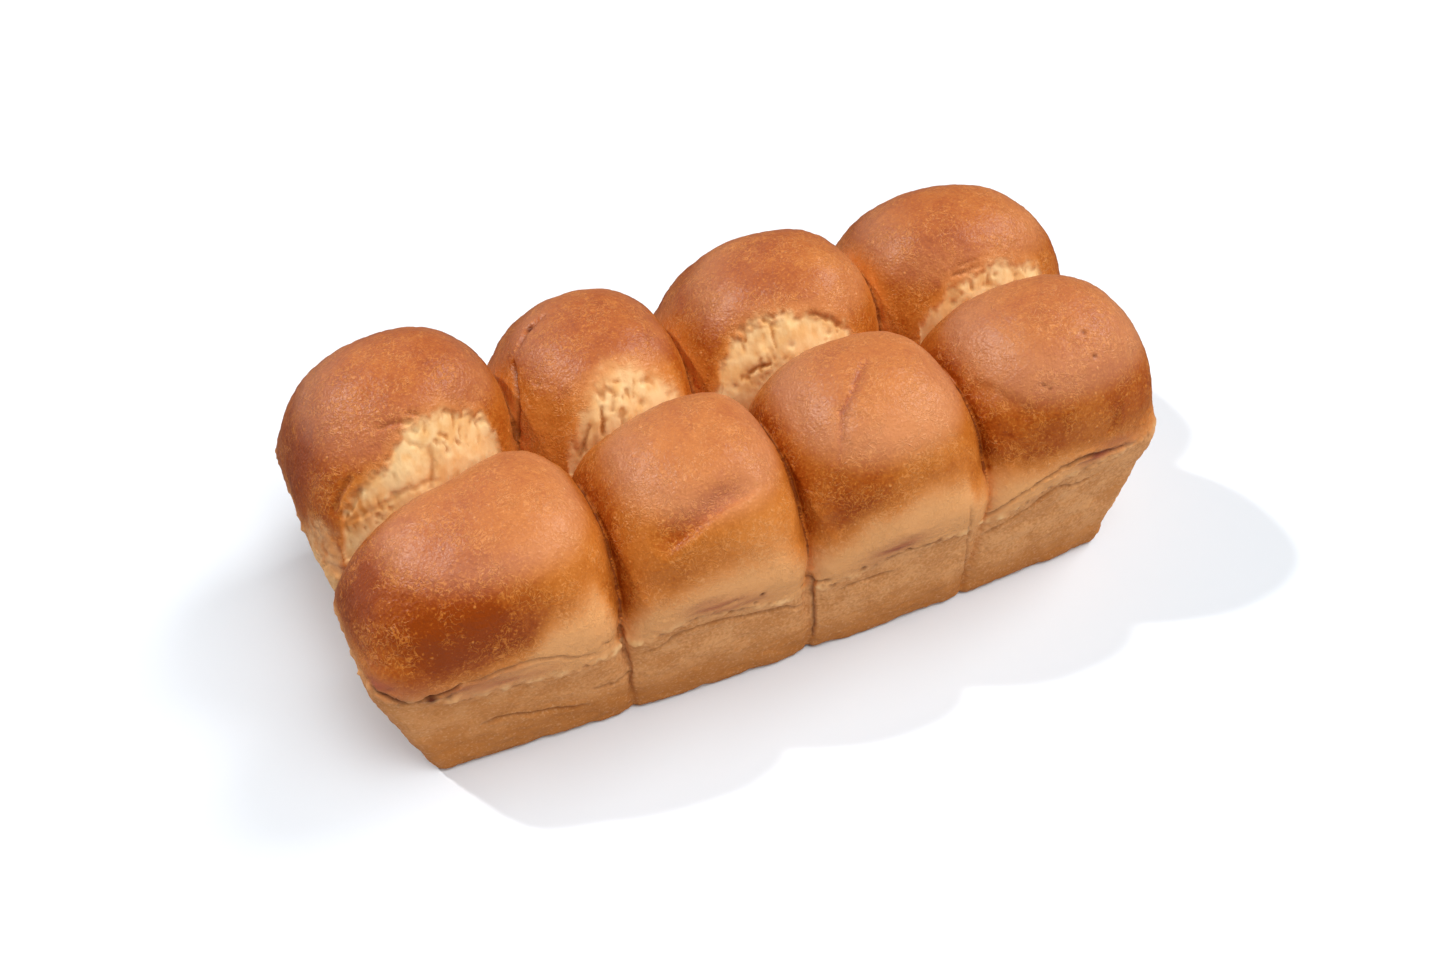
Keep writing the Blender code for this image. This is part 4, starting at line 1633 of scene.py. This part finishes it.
    def bump(self, tree: bpy.types.NodeTree, skin: dict, grain: dict) -> bpy.types.NodeSocket:
        """Lays the finest relief: the crust's peel, blisters and curls, and the pits of wall and crumb.

        Args:
            tree: The material's node tree.
            skin: Outputs with the share of each kind of skin.
            grain: Outputs of the patterns.

        Returns:
            The normal's output.
        """
        height = grain["peel"]
        for pattern, share in (("grit", 0.6), ("speck", 0.5), ("blister", 0.6), ("curls", 0.5)):
            raised = {"operation": "MULTIPLY_ADD", 0: grain[pattern], 1: share, 2: height}
            height = add_node(tree, "Math", raised).outputs[0]
        pocked = {"operation": "ADD", 0: grain["pit"], 1: grain["grit"]}
        pocked = add_node(tree, "Math", pocked).outputs[0]
        for kind, relief in ((Skin.WALL, pocked), (Skin.TORN, grain["strand"])):
            layer = {"data_type": "FLOAT", MIX_SHARE: skin[kind], MIX_LOW: height, MIX_HIGH: relief}
            height = add_node(tree, "Mix", layer).outputs[0]
        bump = {"Strength": self.bump_strength, "Distance": self.bump_depth, "Height": height}
        return add_node(tree, "Bump", bump).outputs[0]


@dataclass(frozen=True)
class PaintedBoard:
    """Smooth board painted matt white: a bright floor with a faint unevenness."""

    light: str = "#e8edf2"
    shade: str = "#e4e9ee"
    mottle_size: float = 0.4
    matt: float = 0.9
    gloss: float = 0.1

    def material(self) -> bpy.types.Material:
        """Builds the board's material.

        Returns:
            The material.
        """
        material = bpy.data.materials.new("painted_white_board")
        material.use_nodes = True
        tree = material.node_tree
        shader = tree.nodes["Principled BSDF"]
        place = add_node(tree, "TexCoord", {}).outputs["Object"]
        mottle = add_node(tree, "TexNoise", {"Vector": place, "Scale": 1 / self.mottle_size})
        ends = {MIX_FROM: linear(self.shade), MIX_TO: linear(self.light)}
        paint = {"data_type": "RGBA", MIX_SHARE: mottle.outputs["Fac"], **ends}
        paint = add_node(tree, "Mix", paint).outputs[MIX_COLOUR]
        tree.links.new(paint, shader.inputs["Base Color"])
        shader.inputs["Roughness"].default_value = self.matt
        shader.inputs["Specular IOR Level"].default_value = self.gloss
        return material


class Reach(Enum):
    """What a lamp gives: light and gloss, light alone when cross-polarized, or gloss alone."""

    ALL = "light and gloss"
    LIGHT = "light"
    GLOSS = "gloss"


@dataclass(frozen=True)
class Lamp:
    """A far lamp: its place round and above the loaf and its width, in degrees, and its strength."""

    name: str
    azimuth: float
    height: float
    width: float
    strength: float
    reach: Reach = Reach.ALL

    def light(self) -> bpy.types.Object:
        """Sets the lamp up, turned to the loaf.

        Returns:
            The lamp.
        """
        sun = bpy.data.lights.new(self.name, "SUN")
        sun.energy = self.strength
        sun.angle = math.radians(self.width)
        turn, height = math.radians(self.azimuth), math.radians(self.height)
        flat = math.cos(height)
        towards = Vector((flat * math.cos(turn), flat * math.sin(turn), math.sin(height)))
        lamp = bpy.data.objects.new(self.name, sun)
        lamp.rotation_euler = towards.to_track_quat("Z", "Y").to_euler()
        lamp.visible_glossy = self.reach is not Reach.LIGHT
        lamp.visible_diffuse = self.reach is not Reach.GLOSS
        bpy.context.scene.collection.objects.link(lamp)
        return lamp


@dataclass(frozen=True)
class Studio:
    """Pale studio: a white floor, lamps round the loaf, and the camera.

    Broad light comes from the front and above, a softbox stands on the right and a small lamp behind on
    the left. The white wall behind the loaf shows in the domes' gloss.
    """

    floor_size: float = 8.0
    room_colour: str = "#f4f7ff"
    room_strength: float = 0.1
    lamps: tuple = (
        Lamp("front_light", -60, 58, 50, 1.65, Reach.LIGHT),
        Lamp("top_light", -80, 72, 30, 0.7, Reach.LIGHT),
        Lamp("softbox", 8, 45, 24, 1.35),
        Lamp("back_lamp", 139, 49.5, 3, 1.45),
        Lamp("white_wall", 128, 32, 95, 1.0, Reach.GLOSS),
    )
    camera_turn: float = math.radians(-23.8)
    camera_height: float = math.radians(44.4)
    camera_roll: float = math.radians(-0.52)
    camera_away: float = 0.6435
    target: tuple = mm(10.1, 27.5, 0)
    lens: float = 42.5
    sensor: float = 36.0

    def floor(self) -> bpy.types.Object:
        """Lays the floor that the loaf stands on.

        Returns:
            The floor.
        """
        bm = bmesh.new()
        bmesh.ops.create_grid(bm, x_segments=2, y_segments=2, size=self.floor_size / 2)
        mesh = bpy.data.meshes.new("studio_floor")
        bm.to_mesh(mesh)
        bm.free()
        floor = bpy.data.objects.new("studio_floor", mesh)
        bpy.context.scene.collection.objects.link(floor)
        mesh.materials.append(PaintedBoard().material())
        floor.visible_glossy = False
        return floor

    def lights(self) -> None:
        """Sets the room's even light, and the lamps."""
        world = bpy.data.worlds.new("studio_room")
        bpy.context.scene.world = world
        world.use_nodes = True
        back = world.node_tree.nodes["Background"]
        back.inputs["Color"].default_value = linear(self.room_colour)
        back.inputs["Strength"].default_value = self.room_strength
        for lamp in self.lamps:
            lamp.light()

    def camera(self) -> bpy.types.Object:
        """Sets the camera at the photograph's viewing angle.

        Returns:
            The camera.
        """
        ca, sa = math.cos(self.camera_turn), math.sin(self.camera_turn)
        ce, se = math.cos(self.camera_height), math.sin(self.camera_height)
        back = Vector((sa * ce, -ca * ce, se))
        level = Vector((ca, sa, 0.0))
        roll = Matrix.Rotation(self.camera_roll, 3, back)
        right = roll @ level
        up = roll @ back.cross(level)
        data = bpy.data.cameras.new("camera")
        data.lens = self.lens
        data.sensor_width = self.sensor
        camera = bpy.data.objects.new("camera", data)
        camera.matrix_world = Matrix((right, up, back)).transposed().to_4x4()
        camera.matrix_world.translation = Vector(self.target) + self.camera_away * back
        bpy.context.scene.collection.objects.link(camera)
        bpy.context.scene.camera = camera
        return camera


def main() -> None:
    """Builds the loaf and the studio, and reports each piece."""
    logging.basicConfig(level=logging.INFO, format="%(message)s")
    bpy.context.scene.view_settings.view_transform = "Standard"
    brioche = BriocheLoaf()
    loaf = brioche.build()
    brioche.dress(loaf)
    LOG.info("%s: %d faces", loaf.name, len(loaf.data.polygons))
    studio = Studio()
    floor = studio.floor()
    studio.lights()
    camera = studio.camera()
    LOG.info("%s, lights and %s set", floor.name, camera.name)


if __name__ == "__main__":
    main()
